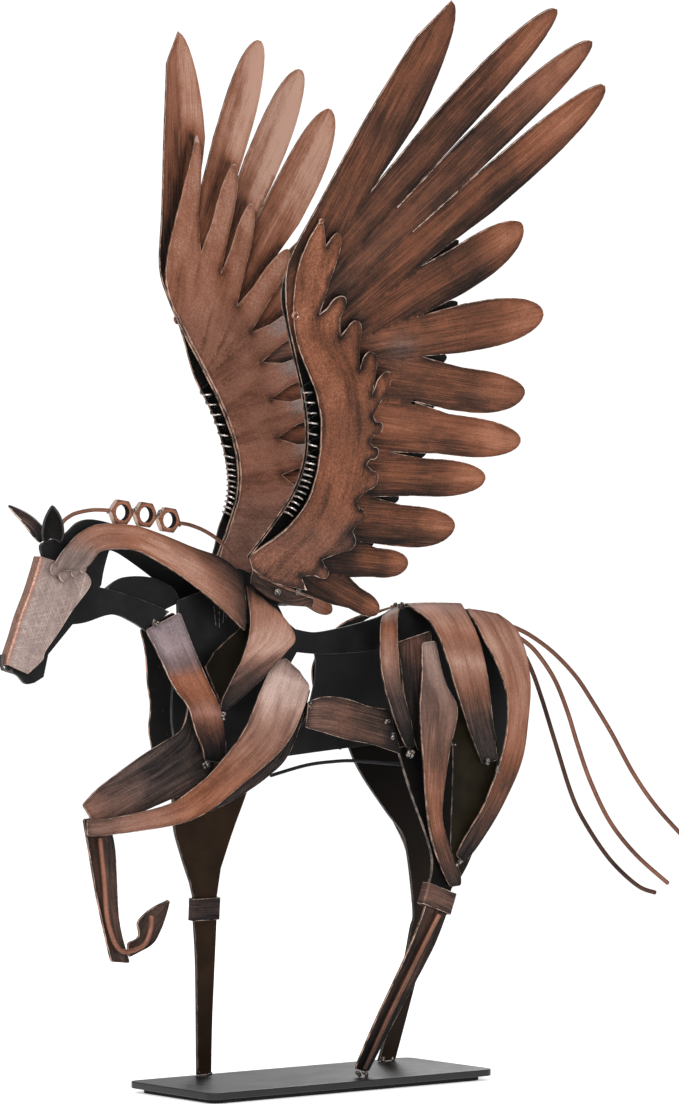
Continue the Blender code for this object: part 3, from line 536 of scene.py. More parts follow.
def thicken(thing, thickness):
    """Gives a skin its thickness, with rounded edges."""
    mesh = thing.data
    outer, amount = edge_rounding(mesh)
    mesh.attributes.new("bevel_weight_edge", "FLOAT", "EDGE").data.foreach_set("value", amount)
    sharp = np.zeros(len(mesh.edges), dtype=bool)
    sharp[outer] = amount[outer] < 0.05
    mesh.attributes.new("sharp_edge", "BOOLEAN", "EDGE").data.foreach_set("value", sharp)
    modify(
        thing, "thickness", "SOLIDIFY", thickness=thickness, offset=0, use_even_offset=True,
        material_offset=1, material_offset_rim=2,
    )
    modify(
        thing, "rounded_edges", "BEVEL", width=ROUNDING, segments=2, limit_method="WEIGHT",
        use_clamp_overlap=False, harden_normals=True,
    )
    return thing


# Cross-sections of the straps: place across from -1 to 1, and how far out, in strap widths
FLAT = ((-1, 0), (0, 0.015), (1, 0))
CROWNED = ((-1, 0), (0, 0.05), (1, 0))
TROUGH = ((-1, 0), (0.1, -0.12), (1, 0))
EAR_CUP = ((-1, 0), (-0.6, -0.26), (0, -0.38), (0.6, -0.26), (1, 0))
HOOF_CUP = ((-1, 0), (0, -0.12), (1, 0))
FOLDED = (TROUGH, HOOF_CUP)


# Each strap's strokes start elsewhere in the brush's pattern
STROKE_SHIFT = 0.013


def section_height(section, u):
    """How far out a section stands at a place across: folded ones are straight between their points."""
    across, out = zip(*(section if section in FOLDED else smooth(section, 8)))
    return float(np.interp(u, across, out))


def edge_rows(length):
    """Places from one end of a length to the other, close together by both ends."""
    near = [row for row in EDGE_ROWS if row < length / 2 * 0.8]
    middle = length - 2 * near[-1]
    count = max(2, round(middle / ROW_PITCH))
    inner = [near[-1] + middle * k / count for k in range(1, count)]
    return near + inner + [length - row for row in reversed(near)]


def strap(
    node, side, stations, materials=COPPER_SHEET, section=FLAT, tones=(0, 0.6), greys=(0, 0), smoked_side=0.0,
    grain=0.0,
):
    """
    A bent strap with rounded corners. Its stations give x, z, how far out, width, turn and lean.
    A side shade darkens one side of its rear half as painted shade, and grain turns its strokes.
    """
    fine = np.array(smooth([station if len(station) == 6 else station + (0,) for station in stations], 16))
    middles = np.array([tuple(place(x, 0, z)) for x, z in fine[:, :2]])
    middles[:, 1] = side * (STRAP_SEAT + fine[:, 2] * UNIT)
    run = np.concatenate([[0], np.cumsum(np.linalg.norm(np.diff(middles, axis=0), axis=1))])
    length = run[-1]
    along = np.array(edge_rows(length))
    middle = np.stack([np.interp(along, run, middles[:, k]) for k in range(3)], axis=1)
    width, turn, lean = (np.interp(along, run, fine[:, k]) for k in (3, 4, 5))
    widest = width.max() * UNIT
    across_rows = np.array(edge_rows(widest)) / widest * 2 - 1
    heights = [section_height(section, u) for u in across_rows]
    shift = sum(ord(letter) for letter in node) * STROKE_SHIFT
    cos, sin = math.cos(math.radians(grain)), math.sin(math.radians(grain))
    corners = []
    for i, done in enumerate(along):
        ahead = middle[min(i + 1, len(along) - 1)] - middle[max(i - 1, 0)]
        turned, leaned = math.radians(turn[i]), math.radians(lean[i])
        flat = math.cos(leaned)
        across = Vector((math.cos(turned) * flat, side * math.sin(leaned), math.sin(turned) * flat))
        outward = across.cross(Vector(ahead)).normalized()
        if outward.y * side < 0:
            outward.negate()
        size = width[i] * UNIT
        end = min(done, length - done)
        radius = min(CORNER_ROUND, size * 0.35)
        drawn_in = radius - math.sqrt(max(radius**2 - max(radius - end, 0) ** 2, 0))
        half = size / 2 - drawn_in
        share = done / length
        # painted shade along one side of its rear half
        smoke = smoked_side * float(ease(share, 0.35, 0.6))
        for u, height in zip(across_rows, heights):
            corners.append((
                Vector(middle[i]) + across * (u * half) + outward * (height * size),
                (u * half * cos - done * sin + shift, u * half * sin + done * cos + shift * 0.7),
                min((1 - abs(u)) * half, end),
                along_stops(share, tones) - smoke * max(-u, 0) ** 2,
                along_stops(share, greys),
            ))
    faces = net(len(along), len(across_rows))
    thing = skin(f"{node}_brushed", faces, materials, *zip(*corners), Vector((0, side, 0)))
    stands_for(thicken(thing, SHEET), node)


def straps(ending, words, *shape, **finish):
    """The same strap on each side named."""
    for word in words:
        strap(f"{word}_{ending}", SIDES[word], *shape, **finish)


def outline(*runs, steps=6):
    """A closed outline: each run of points is smooth, and straight edges join one run to the next."""
    points = []
    for run in runs:
        points += smooth(run, steps) if len(run) > 2 else list(run)
    return points


def nearest_on_line(spots, points):
    """How far each spot is from an open line, and how far along it that nearest place is."""
    line = np.array(points, dtype=float)
    best = np.full(len(spots), 1e9)
    run = np.zeros(len(spots))
    done = 0.0
    for start, end in zip(line, line[1:]):
        edge = end - start
        length = max(np.linalg.norm(edge), 1e-6)
        t = np.clip((spots - start) @ edge / length**2, 0, 1)
        away = np.linalg.norm(spots - (start + t[:, None] * edge), axis=1)
        nearer = away < best
        best[nearer] = away[nearer]
        run[nearer] = (done + t * length)[nearer]
        done += length
    return best, run


def edge_distance(spots, points):
    """How far each spot is from a closed outline."""
    return nearest_on_line(spots, list(points) + [points[0]])[0]


def within(spots, points):
    """Which spots are inside a closed outline."""
    odd = np.zeros(len(spots), dtype=bool)
    for (x1, z1), (x2, z2) in zip(points, points[1:] + points[:1]):
        if z1 != z2:
            crosses = (z1 > spots[:, 1]) != (z2 > spots[:, 1])
            odd ^= crosses & (spots[:, 0] < (x2 - x1) * (spots[:, 1] - z1) / (z2 - z1) + x1)
    return odd


def even_outline(points, pitch):
    """The outline with points added on its long edges."""
    result = []
    for (x1, z1), (x2, z2) in zip(points, points[1:] + points[:1]):
        count = max(1, round(math.hypot(x2 - x1, z2 - z1) / pitch))
        result += [(x1 + (x2 - x1) * k / count, z1 + (z2 - z1) * k / count) for k in range(count)]
    return result


def filled(points, pitch):
    """Corners and triangles of a flat sheet cut to an outline, in a fine even net."""
    around = even_outline(points, pitch)
    low, high = np.min(around, axis=0), np.max(around, axis=0)
    spread = np.array([
        (x + pitch / 2 * (k % 2), z)
        for k, z in enumerate(np.arange(low[1], high[1], pitch * 0.87))
        for x in np.arange(low[0], high[0] + pitch, pitch)
    ])
    spread = spread[within(spread, around)]
    spread = spread[edge_distance(spread, around) > pitch * 0.45]
    flat = [Vector(spot) for spot in list(around) + [tuple(spot) for spot in spread]]
    corners, _, faces, *_ = delaunay_2d_cdt(flat, [], [list(range(len(around)))], 1, 1e-5)
    spots = np.array([tuple(corner) for corner in corners])
    return spots, faces, edge_distance(spots, around)


def cut_sheet(name, y, points, materials, thickness, lean=0.0, pitch=3.0, tone=0.3):
    """A flat sheet cut to an outline. tone is a number, or a function of place."""
    spots, faces, rim = filled(points, pitch)
    angle = math.atan(lean)
    foot = place(0, y, SOLE)
    rise = (spots[:, 1] - SOLE) * UNIT
    places = np.stack(
        [spots[:, 0] * UNIT, foot.y - math.sin(angle) * rise, foot.z + math.cos(angle) * rise], axis=1
    )
    if callable(tone):
        tone = tone(spots[:, 0], spots[:, 1])
    outward = Vector((0, -1 if y <= 0 else 1, 0))
    thing = skin(name, faces, materials, places, spots * UNIT, rim * UNIT, tone, 0.6, outward)
    return thicken(thing, thickness)


def plate(node, y, points, materials, thickness=SKELETON, **finish):
    stands_for(cut_sheet(f"{node}_cut", y, points, materials, thickness, **finish), node)


def circle(count):
    """The angle, cosine and sine of evenly spaced places round a circle."""
    angles = [2 * math.pi * k / count for k in range(count)]
    return [(angle, math.cos(angle), math.sin(angle)) for angle in angles]


def tube(name, route, radius, material, sides=14, tone=0.6):
    """A round wire along points in metres, with rounded ends. tone is a number, or one for each point."""
    route = [Vector(point) for point in route]
    rings, corners = [], []
    done = 0.0
    across = (route[1] - route[0]).normalized().orthogonal().normalized()
    for i, spot in enumerate(route):
        before, after = route[max(i - 1, 0)], route[min(i + 1, len(route) - 1)]
        ahead = (after - before).normalized()
        across = (across - ahead * across.dot(ahead)).normalized()
        if i:
            done += (spot - route[i - 1]).length
        rings.append((spot, ahead, across.copy(), radius, done))
    first, last = rings[0], rings[-1]
    for share in (0.35, 0.75):
        lift = radius * share
        size = math.sqrt(radius**2 - lift**2)
        rings.insert(0, (first[0] - first[1] * lift * 0.6, first[1], first[2], size, -lift))
        rings.append((last[0] + last[1] * lift * 0.6, last[1], last[2], size, done + lift))
    tones = tone if isinstance(tone, list) else [tone] * len(route)
    tones = [tones[0]] * 2 + tones + [tones[-1]] * 2
    for (spot, ahead, across, size, run), shade in zip(rings, tones):
        other = ahead.cross(across)
        for angle, cos, sin in circle(sides):
            point = spot + across * (size * cos) + other * (size * sin)
            corners.append((point, (radius * angle, run), 1.0, shade, 0.2))
    faces = net(len(rings), sides, wide_closes=True)
    faces += [tuple(reversed(range(sides))), tuple(range((len(rings) - 1) * sides, len(rings) * sides))]
    return skin(name, faces, [material], *zip(*corners))


def wire(node, points, diameter, material=ROD_COPPER, steps=8, tone=0.6):
    """A round wire through points of the figure. tone is a number, or one for each end."""
    route = [place(*point) for point in smooth(points, steps)]
    if isinstance(tone, tuple):
        tone = list(np.linspace(*tone, len(route)))
    stands_for(tube(f"{node}_drawn", route, diameter / 2, material, tone=tone), node)


def turned(name, node, middle, outward, profile, material, tone=0.7, greyed=0.2):
    """A small round piece. Its profile is a closed loop of radius and height, or ends in its middle."""
    around, rings = 32, len(profile)
    outward = Vector(outward).normalized()
    across = outward.orthogonal().normalized()
    other = outward.cross(across)
    widest = max(radius for radius, height in profile)
    corners = []
    for radius, height in profile:
        for angle, cos, sin in circle(around):
            point = middle + across * (radius * cos) + other * (radius * sin) + outward * height
            corners.append((point, (radius * cos, radius * sin), widest - radius, tone, greyed))
    bored = profile[-1][0] > SMALLEST_BORE
    faces = net(rings, around, rows_close=bored, wide_closes=True)
    if not bored:
        faces += [tuple(range((rings - 1) * around, rings * around)), tuple(reversed(range(around)))]
    piece = skin(name, faces, [material], *zip(*corners))
    piece.data.set_sharp_from_angle(angle=FOLD_ANGLE)
    belongs_to(piece)


# How far a weld's beads lie from its middle, along and out, in units
WELD_SPREAD, WELD_DEPTH = 1.5, 0.3


def weld(name, node, x, y, z, size, beads):
    """A run of weld: beads of molten metal that flow together, rough all over."""
    chance = random.Random(name)
    form = bmesh.new()
    for _ in range(beads):
        spreads = (WELD_SPREAD, WELD_DEPTH, WELD_SPREAD)
        middle = place(*(at + chance.uniform(-spread, spread) for at, spread in zip((x, y, z), spreads)))
        radius = size * UNIT * chance.uniform(0.7, 1.15)
        for bead in bmesh.ops.create_icosphere(form, subdivisions=3, radius=1.0)["verts"]:
            way = bead.co.normalized()
            lumps = 0.3 * noise.noise(way * 1.6 + middle * 900) + 0.12 * noise.noise(way * 5.0 + middle * 900)
            bead.co = middle + way * (radius * (1 + lumps))
    belongs_to(add_to_scene(name, formed(name, form, WELD_STEEL)))


# The base


def make_base():
    for node, height, inset, floor, material in (
        ("base_plate", BASE_THICKNESS - WELD_GAP, 0.0, PAD_THICKNESS + WELD_GAP, BASE_BLACK),
        ("base_pad", PAD_THICKNESS, PAD_INSET, 0.0, PAD_BLACK),
    ):
        form = bmesh.new()
        ring = rounded_box(BASE_LENGTH / 2 - inset, BASE_WIDTH / 2 - inset, BASE_CORNER, 8)
        face = form.faces.new([form.verts.new((x, y, floor)) for x, y in ring])
        lifted = bmesh.ops.extrude_face_region(form, geom=[face])["geom"]
        top = [part for part in lifted if isinstance(part, bmesh.types.BMVert)]
        bmesh.ops.translate(form, vec=(0, 0, height), verts=top)
        bmesh.ops.recalc_face_normals(form, faces=form.faces)
        mesh = formed(f"{node}_coated", form, material)
        mesh.attributes.new("rim", "FLOAT", "POINT").data.foreach_set("value", [1.0] * len(mesh.vertices))
        slab = add_to_scene(f"{node}_coated", mesh)
        modify(
            slab, "rounded_edges", "BEVEL", width=0.0006, segments=3, limit_method="ANGLE",
            angle_limit=FOLD_ANGLE, harden_normals=True,
        )
        stands_for(slab, node)


# The black plates down the middle of the horse, and the cut plates of the standing legs

FORELEG_Y, FORELEG_LEAN = 36.0, 0.062
FORELEG_KNEE = (-53.5, 100.5)
THIGH_Y, THIGH_LEAN = -31.6, -0.041
HIND_LEG_Y, HIND_LEG_LEAN = 29.0, 0.033
SPEAR_SHADE = ((80.1, 191.5), (79.4, 173.3), (77.9, 153.6), (76.5, 134.9), (78, 118), (82, 104))


def leg_tone(x, z):
    return 0.20 + 0.12 * ease(z, 10, 190)


def behind_spear(x, z):
    """The thigh plate is black in front of a line behind the spear, and olive behind that line."""
    line, heights = zip(*reversed(SPEAR_SHADE))
    return ease(x - np.interp(z, heights, line), -0.6, 1.2)


def hind_leg_tone(x, z):
    return 0.15 + 0.75 * ease(-z, -190, -70)


def make_plates():
    plate(
        "head_neck_plate", 0,
        outline(
            [(-184, 297), (-186, 305), (-179, 308), (-170, 311), (-162, 317), (-154, 319), (-145, 318)],
            [(-132, 315), (-120, 312), (-119, 305), (-138, 305)], [(-141, 301), (-144, 292), (-146, 283)],
            [(-147, 282), (-133, 279), (-113, 273), (-100, 268)], [(-115, 257), (-126, 263), (-139, 267),
            (-156, 263), (-165, 262)], [(-181, 246), (-184, 234)], [(-190, 231), (-196, 230.5),
            (-201, 235), (-207, 237)], [(-210.8, 238.2), (-211.98, 242.5), (-211.6, 246.6)],
            [(-209.2, 246.8), (-210.3, 240.2), (-205, 239.2), (-201, 256)], steps=4,
        ), BLACK_SHEET,
    )
    plate(
        "back_plate", 0,
        outline(
            [(-94.6, 274), (-67, 283), (-55, 291), (-44, 288), (-30, 277), (-20, 262)], [(-13, 257),
            (1, 255), (18, 257), (34, 260), (47, 263), (62, 268), (92, 268), (121, 264), (141, 258.5)],
            [(141, 246), (140.5, 238)], [(141, 222), (141.5, 200), (135, 174), (118, 175), (106, 203),
            (95, 226), (84, 238), (66, 243)], [(46, 244.5), (31, 243), (6, 242.5), (-12, 244)],
            [(-19, 234), (-22, 218), (-30, 198), (-58, 187), (-84, 188), (-96, 197), (-98.5, 219),
            (-93.5, 248)],
        ), BLACK_SHEET,
    )
    plate(
        "throat_band", (STRAP_SEAT + THROAT_BAND_ROOM) / UNIT,
        outline(
            [(-142, 281), (-130, 287), (-111, 287), (-96, 281), (-91, 273)], [(-104, 268), (-118, 272),
            (-131, 276)],
        ), BLACK_SHEET, thickness=SHEET,
    )
    plate(
        "right_foreleg_plate", FORELEG_Y,
        outline(
            [(-61.6, 101.2), (-61.8, 108)], [(-64.4, 116), (-71, 131), (-77, 148), (-79, 170)],
            [(-74, 194), (-62, 204), (-46, 207), (-22, 203)], [(-19, 190), (-27, 166), (-36, 144),
            (-43.6, 123)], [(-45.6, 108), (-45.6, 101.2)],
        ), LEG_SHEET, lean=FORELEG_LEAN, tone=leg_tone,
    )
    plate(
        "right_fore_cannon", FORELEG_Y,
        outline(
            [(-61.4, 100.8), (-60.8, 94), (-58, 68), (-54.5, SOLE + 0.5)], [(-45, SOLE + 0.5), (-45.6, 35),
            (-45.5, 59), (-45.2, 94), (-45.6, 100.8)],
        ), LEG_SHEET, lean=FORELEG_LEAN, tone=leg_tone,
    )
    plate(
        "left_thigh_plate", THIGH_Y,
        outline(
            [(41, 190), (50, 164), (61, 138), (64, 124), (61.4, 113)], [(60.4, 109), (75, 103.6)],
            [(77.4, 109.4), (84, 115), (94, 130), (109, 164), (114, 186)], [(112, 200), (104, 212)],
            [(73, 213), (67, 194)],
        ), THIGH_SHEET, lean=THIGH_LEAN, tone=behind_spear,
    )
    plate(
        "right_hind_leg_plate", HIND_LEG_Y,
        outline(
            [(28, 238), (33, 214), (44, 187), (54, 171), (72, 150), (83, 138), (88, 124), (93, 92),
            (91, 82), (85, 55), (69.5, SOLE + 0.5)], [(81.5, SOLE + 0.5), (95, 50), (101, 72), (101.5, 92),
            (104, 110), (106, 130), (109, 164), (111, 192), (107, 222), (99, 239)],
        ), HIND_LEG_SHEET, lean=HIND_LEG_LEAN, tone=hind_leg_tone,
    )


# Head and neck

FACE_STATIONS = (
    (-187, 299, -162, 292, 5.5), (-189, 293, -157, 284, 6.5), (-194, 280, -169, 270, 6.5),
    (-200, 267, -178, 258, 6.0), (-204, 256, -186, 248, 5.2), (-208, 246, -188, 243, 4.8),
    (-209, 241, -197, 236, 4.4),
)
FACE_LENGTH, FACE_EDGE, NOSE_WIDTH = 0.066, 0.055, 0.0056
NUT_TURN = 38


def make_face():
    """The folded face, its two cheeks cross-brushed and its nose strip left copper."""
    rows = smooth(FACE_STATIONS, 10)
    cheek = (0.0, 0.03, 0.08, 0.2, 0.36, 0.52, 0.68, 0.82, 0.92, 0.97)
    nose = (0.0, 0.25, 0.5, 0.75, 1.0)
    corners = []
    for i, (nose_x, nose_z, jaw_x, jaw_z, jaw_out) in enumerate(rows):
        jaws = [place(jaw_x, side * jaw_out, jaw_z) for side in (LEFT, RIGHT)]
        folds = [place(nose_x, side * NOSE_HALF_WIDTH, nose_z) for side in (LEFT, RIGHT)]
        wide = (jaws[0] - folds[0]).length
        down = i / (len(rows) - 1)
        end = min(down, 1 - down) * FACE_EDGE
        row = [(jaws[0].lerp(folds[0], share), -wide * (1 - share), share, True) for share in cheek]
        row += [(folds[0].lerp(folds[1], share), share * NOSE_WIDTH, 1.0, False) for share in nose]
        row += [
            (jaws[1].lerp(folds[1], share), NOSE_WIDTH + wide * (1 - share), share, True)
            for share in reversed(cheek)
        ]
        for spot, across, inward, silver in row:
            corners.append((
                spot,
                (across, down * FACE_LENGTH),
                min(inward * wide, end) if silver else end,
                0.77 + 0.03 * down if silver else 0.74,
                0.95 if silver and inward < 0.97 else 0.45,
            ))
    faces = net(len(rows), len(corners) // len(rows))
    face = skin("face_plate_brushed", faces, FACE_SHEET, *zip(*corners), Vector((-1, 0, 0.4)))
    stands_for(thicken(face, SHEET), "face_plate")


def make_nut(node, x, z):
    """A hexagon nut on edge: chamfered corners, and a thread cut in its bore."""
    around, thread_rows, thread_pitch, thread_depth = 96, 16, 0.00125, 0.00028
    bevel = 0.0005
    half, bore, flat = NUT_THICKNESS / 2, NUT_BORE / 2, NUT_ACROSS_FLATS / 2
    flat_reach = flat * 0.94
    rings = [
        [(bore, -half + bevel + (NUT_THICKNESS - 2 * bevel) * k / thread_rows, 0.15, 1.0)] * around
        for k in range(thread_rows + 1)
    ]
    rim = []
    for angle, cos, sin in circle(around):
        reach = flat / math.cos((angle + math.pi / 6) % (math.pi / 3) - math.pi / 6)
        rim.append((reach, half - max(reach - flat_reach, 0) * math.tan(math.radians(30)), 0.5, 0.0))
    loops = [[(bore + 0.0004, half, 0.75, 1.0)] * around, [(flat_reach, half, 0.66, 1.0)] * around, rim]
    rings += loops
    rings += [[(radius, -height, *paint) for radius, height, *paint in loop] for loop in reversed(loops)]
    middle = place(x, 0, z)
    corners = []
    for i, ring in enumerate(rings):
        for k, (radius, height, shade, bare) in enumerate(ring):
            if i <= thread_rows:
                radius += thread_depth * abs(((height / thread_pitch + k / around) % 1) * 2 - 1)
            spin = 2 * math.pi * k / around + math.pi / 6 + math.radians(NUT_TURN)
            cos, sin = radius * math.cos(spin), radius * math.sin(spin)
            corners.append((middle + Vector((sin, height, cos)), (cos, sin), bare, shade, 0.1))
    faces = net(len(rings), around, rows_close=True, wide_closes=True)
    nut = skin(f"{node}_turned", faces, [COPPER], *zip(*corners))
    form = bmesh.new()
    form.from_mesh(nut.data)
    bmesh.ops.recalc_face_normals(form, faces=form.faces)
    form.to_mesh(nut.data)
    form.free()
    nut.data.set_sharp_from_angle(angle=math.radians(24))
    stands_for(nut, node)


def make_mane():
    """The three nuts in a row over the neck, and the wires before and behind them."""
    flat, corner = NUT_ACROSS_FLATS / 2 / UNIT, NUT_ACROSS_FLATS / math.sqrt(3) / UNIT
    nuts = [(-132.4, 316 + flat), (-116.4, 314.7 + flat), (-100.6, 311.7 + flat)]
    for number, (x, z) in enumerate(nuts, 1):
        make_nut(f"mane_nut_{number}", x, z)
    front_x, rear_x = nuts[0][0] - corner - 0.4, nuts[2][0] + corner + 0.5
    wire(
        "front_mane_wire",
        [
            (-173.2, 0, 311.3), (-171.2, 0, 317), (-166.5, 0, 320.5), (-161, 0, 322.5), (-151, 0, 324),
            (front_x, 0, 323.8),
        ], MANE_WIRE, tone=0.66,
    )
    wire(
        "rear_mane_wire",
        [
            (rear_x, 0, 316.6), (-85, 0, 315.4), (-75, 0, 312), (-65, 0, 306.4), (-57, 0, 299),
            (-52.5, 0, 292.6),
        ], MANE_WIRE, tone=0.58,
    )


# The bent straps and the bands of neck, chest, legs, barrel and haunch

RUMP_TOP = [
    (120.6, 264.9, 0.8, 25, -8, -3), (125.2, 257.2, 6.6, 37.4, -5, -13), (128.6, 247, 11, 38, -1, -17),
    (131.5, 236, 14.6, 35.5, 2, -21), (132.6, 221, 18.6, 31.5, 3, -24), (130.4, 203, 21, 26, -5, -24),
]


# Each strap's tones and greys along it give its smoked copper, and also painted highlights, greyed as a
# painted sheen, where it bends towards the light
def make_straps():
    straps(
        "ear", SIDES,
        [
            (-180.5, 306.5, 2.5, 9.6, 0, 20), (-182.5, 311, 5.6, 12, 0, 20),
            (-185.5, 317, 10, 10.6, 0, 20), (-189, 322, 15, 6.6, 0, 20), (-192, 325.8, 18.8, 1.4, 0, 20),
        ], materials=EAR_SHEET, section=EAR_CUP, tones=(0, 0.2, 0.5, 0.34, 1, 0.42), greys=(0, 0.5),
    )
    straps(
        "crest_band", SIDES,
        [
            (-174.3, 291.3, 6.4, 20.4, 2), (-169.6, 296.3, 6.4, 21, -8, 5),
            (-162.6, 303.5, 6.0, 18, -18, 14), (-155.5, 307.4, 5.5, 16.5, -42, 23),
            (-147, 309.4, 5.4, 16.6, -62, 26), (-133, 309, 5.6, 17, -76, 31),
            (-121, 306, 6.2, 20, -83, 30), (-103, 298, 8, 26, -78, 25), (-84, 288, 9, 33, -80, 22),
            (-67, 279, 10, 38, -88, 18), (-58, 272, 10.5, 32, -100, 18),
        ], section=CROWNED,
        tones=(0, 0.72, 0.08, 0.66, 0.3, 0.82, 0.55, 1.0, 0.75, 0.88, 0.9, 0.62, 1, 0.42),
        # painted shade along the crest band's upper edge, under the nuts and the wing root
        greys=(0, 0.9, 0.09, 0.85, 0.17, 0.3, 0.4, 0.03, 0.8, 0.2, 1, 0.4), smoked_side=0.3,
    )
    straps(
        "throat_strap", SIDES,
        [
            (-106, 263, 0.6, 25, 22), (-100.8, 248, 4.6, 23, 9, 5), (-95.6, 229, 12, 21, 8, 11),
            (-90.5, 216, 17.6, 19, 0, 12), (-88.8, 203, 20.6, 18.5, 2, 5), (-87, 194.5, 21.8, 16.5, -4),
            (-87, 186, 22.2, 13, -8),
        ], materials=CROSS_SHEET,
        tones=(
            0, 0.74, 0.2, 0.78, 0.32, 0.64, 0.42, 0.76, 0.54, 0.71, 0.6, 0.72, 0.67, 0.8, 0.75, 0.56, 0.84,
            0.34, 1, 0.18,
        ),
        greys=(0, 1, 0.2, 0.95, 0.32, 0.7, 0.4, 0.03, 0.56, 0.0, 0.66, 0.25, 0.78, 0.1, 0.88, 0.3, 1, 0.6),
    )
    straps(
        "withers_strap", SIDES,
        [
            (-48, 280, 4, 7, -39, 18), (-44, 267, 11, 19, -1, 6), (-44, 254, 18, 32, -3),
            (-53, 243, 22, 33, 6, -5), (-67, 231, 26, 24, 5, -2), (-79, 220, 27.5, 14, 8),
            (-83.5, 215, 27.5, 5, 10),
        ], tones=(0, 0.45, 0.15, 0.78, 0.35, 0.92, 0.48, 0.96, 0.6, 0.66, 0.8, 0.32, 1, 0.12),
        greys=(0, 0.3, 0.2, 0.2, 0.42, 0.3, 0.6, 0.45, 1, 0.6), grain=-28,
    )
    strap(
        "left_shoulder_sweep", LEFT,
        [
            (-32, 238, 21, 13, -40, 9), (-36, 228, 21.6, 31, -13), (-49, 207.5, 26, 32, -14),
            (-60.5, 195.5, 29.1, 29, -18), (-74, 185.5, 31.1, 25.5, -18), (-89, 175.5, 32.6, 21.5, -20),
            (-107.6, 164.6, 33, 16.7, -44), (-126, 158.5, 32.4, 12, -68), (-164, 154, 31, 9, -82),
            (-178, 154, 30.5, 9, -86),
        ],
        tones=(
            0, 0.62, 0.05, 0.98, 0.13, 0.98, 0.22, 0.8, 0.4, 0.72, 0.6, 0.75, 0.75, 0.76, 0.88, 0.68, 1,
            0.54,
        ), greys=(0, 0.8, 0.08, 0.6, 0.25, 0.35, 0.45, 0.1, 0.6, 0.0, 0.75, 0.25, 1, 0.5),
    )
    strap(
        "right_shoulder_sweep", RIGHT,
        [
            (-32, 238, 21, 13, -40, 9), (-34.5, 226, 21.8, 29, -10), (-38, 208, 26, 28, -4),
            (-45, 186, 29.5, 25, 0), (-50, 164, 30.5, 20, 2), (-53, 142, 30, 13, 2), (-54, 124, 29.5, 7, 0),
        ], tones=(0, 0.6, 0.1, 0.84, 0.4, 0.84, 0.7, 0.76, 1, 0.4), greys=(0, 0.4, 0.4, 0.15, 1, 0.2),
    )
    strap(
        "left_elbow_band", LEFT,
        [
            (-22, 224, 15.6, 13, -2), (-33, 206, 19.4, 16, -6), (-46, 190, 23.5, 17, -22),
            (-60, 181, 26.5, 16, -28), (-78, 171.5, 29.4, 12, -38), (-98, 161.5, 30.6, 6, -45),
        ], tones=(0, 0.25, 0.5, 0.36, 1, 0.3), greys=(0, 0.7),
    )
    strap(
        "left_forearm_plate", LEFT,
        [
            (-86.5, 206, 13.8, 33, -43), (-92.5, 198, 16.1, 27.5, -41), (-98.5, 190.5, 18.4, 33, -40),
            (-121, 180.6, 23.5, 42.5, -24), (-148.2, 170, 26, 32.5, -29), (-174.5, 160, 27.4, 15, -55),
        ], tones=(0, 0.2, 0.35, 0.42, 0.7, 0.5, 1, 0.62), greys=(0, 0.8, 0.6, 0.65, 1, 0.35),
    )
    strap(
        "left_shin_trough", LEFT,
        [
            (-168, 159, 24.1, 16, 5), (-165.1, 142, 26.1, 17.6, 1), (-162.5, 117.6, 27.1, 14.2, 2),
            (-159.8, 98.7, 28.1, 11.4, 2), (-154.2, 80.3, 28.1, 12.9, -7),
        ], section=TROUGH, tones=(0, 0.3, 0.5, 0.42, 1, 0.4), greys=(0, 0.4),
    )
    strap(
        "left_raised_hoof", LEFT,
        [
            (-148.4, 86.6, 27.3, 8.2, -84), (-140.2, 89.8, 27.3, 8.2, -69),
            (-136.9, 95.3, 27.3, 15.9, -44), (-131.8, 101.8, 27.3, 14.3, -32),
            (-126.4, 107.8, 27.3, 8.8, -24), (-121.4, 112, 27.3, 1.6, -11),
        ], section=HOOF_CUP, tones=(0, 0.42, 1, 0.4), greys=(0, 0.4),
    )
    straps(
        "flank_band", SIDES,
        [
            (-22, 210.3, 20.6, 14.5, -98), (-10, 210, 21, 20, -93, -5), (4, 207, 24, 23, -86, -5),
            (20, 203, 25.5, 22, -80, -4), (37, 199, 25, 27, -70),
        ], tones=(0, 0.42, 0.1, 0.56, 0.5, 0.49, 0.8, 0.42, 1, 0.16), greys=(0, 0.5, 0.4, 0.3, 1, 0.45),
    )
    strap(
        "right_barrel_sheet", RIGHT,
        [
            (33, 245.6, 0.2, 62, 0), (36, 235, 5, 58, 0), (38, 220, 11, 58, 0), (38.5, 204, 15.6, 65, 1),
            (35.6, 187.5, 18, 79.5, 4),
        ], materials=BLACK_SHEET,
    )
    straps(
        "croup_front_strap", SIDES,
        [
            (56.5, 267.4, 0.6, 12.6, 16, -8), (46, 263.2, 9.4, 13, 8, -5), (38, 255.5, 18.5, 12.4, 0),
            (31, 239, 28, 13, -1), (31, 225, 31, 12, -1), (38, 208, 30, 12, -2), (47.5, 190, 26.4, 6, 14),
        ], tones=(0, 0.46, 0.12, 0.6, 0.3, 0.78, 0.48, 0.84, 0.6, 0.62, 0.7, 0.4, 0.85, 0.22, 1, 0.18),
        greys=(0, 0.3, 0.25, 0, 0.45, 0.35, 0.6, 0.5, 1, 0.6),
    )
    straps(
        "croup_strap", SIDES,
        [
            (84.8, 269.6, 0.8, 42, 0, -3), (86.5, 262.3, 11, 34.4, -1, -6),
            (86.2, 252.4, 20.5, 31.6, -3, -5), (86.5, 240, 26.8, 30.4, -5, -5),
            (89.5, 224, 29.3, 26, -3, -3), (95.8, 202, 29, 19, 0), (105, 180, 26.4, 11.6, 10),
        ],
        tones=(
            0, 0.72, 0.2, 0.88, 0.34, 0.8, 0.42, 0.92, 0.52, 0.74, 0.62, 0.58, 0.75, 0.44, 0.9, 0.32, 1,
            0.26,
        ), greys=(0, 0.3, 0.25, 0.05, 0.42, 0.3, 0.6, 0.2, 0.8, 0.5, 1, 0.7),
    )
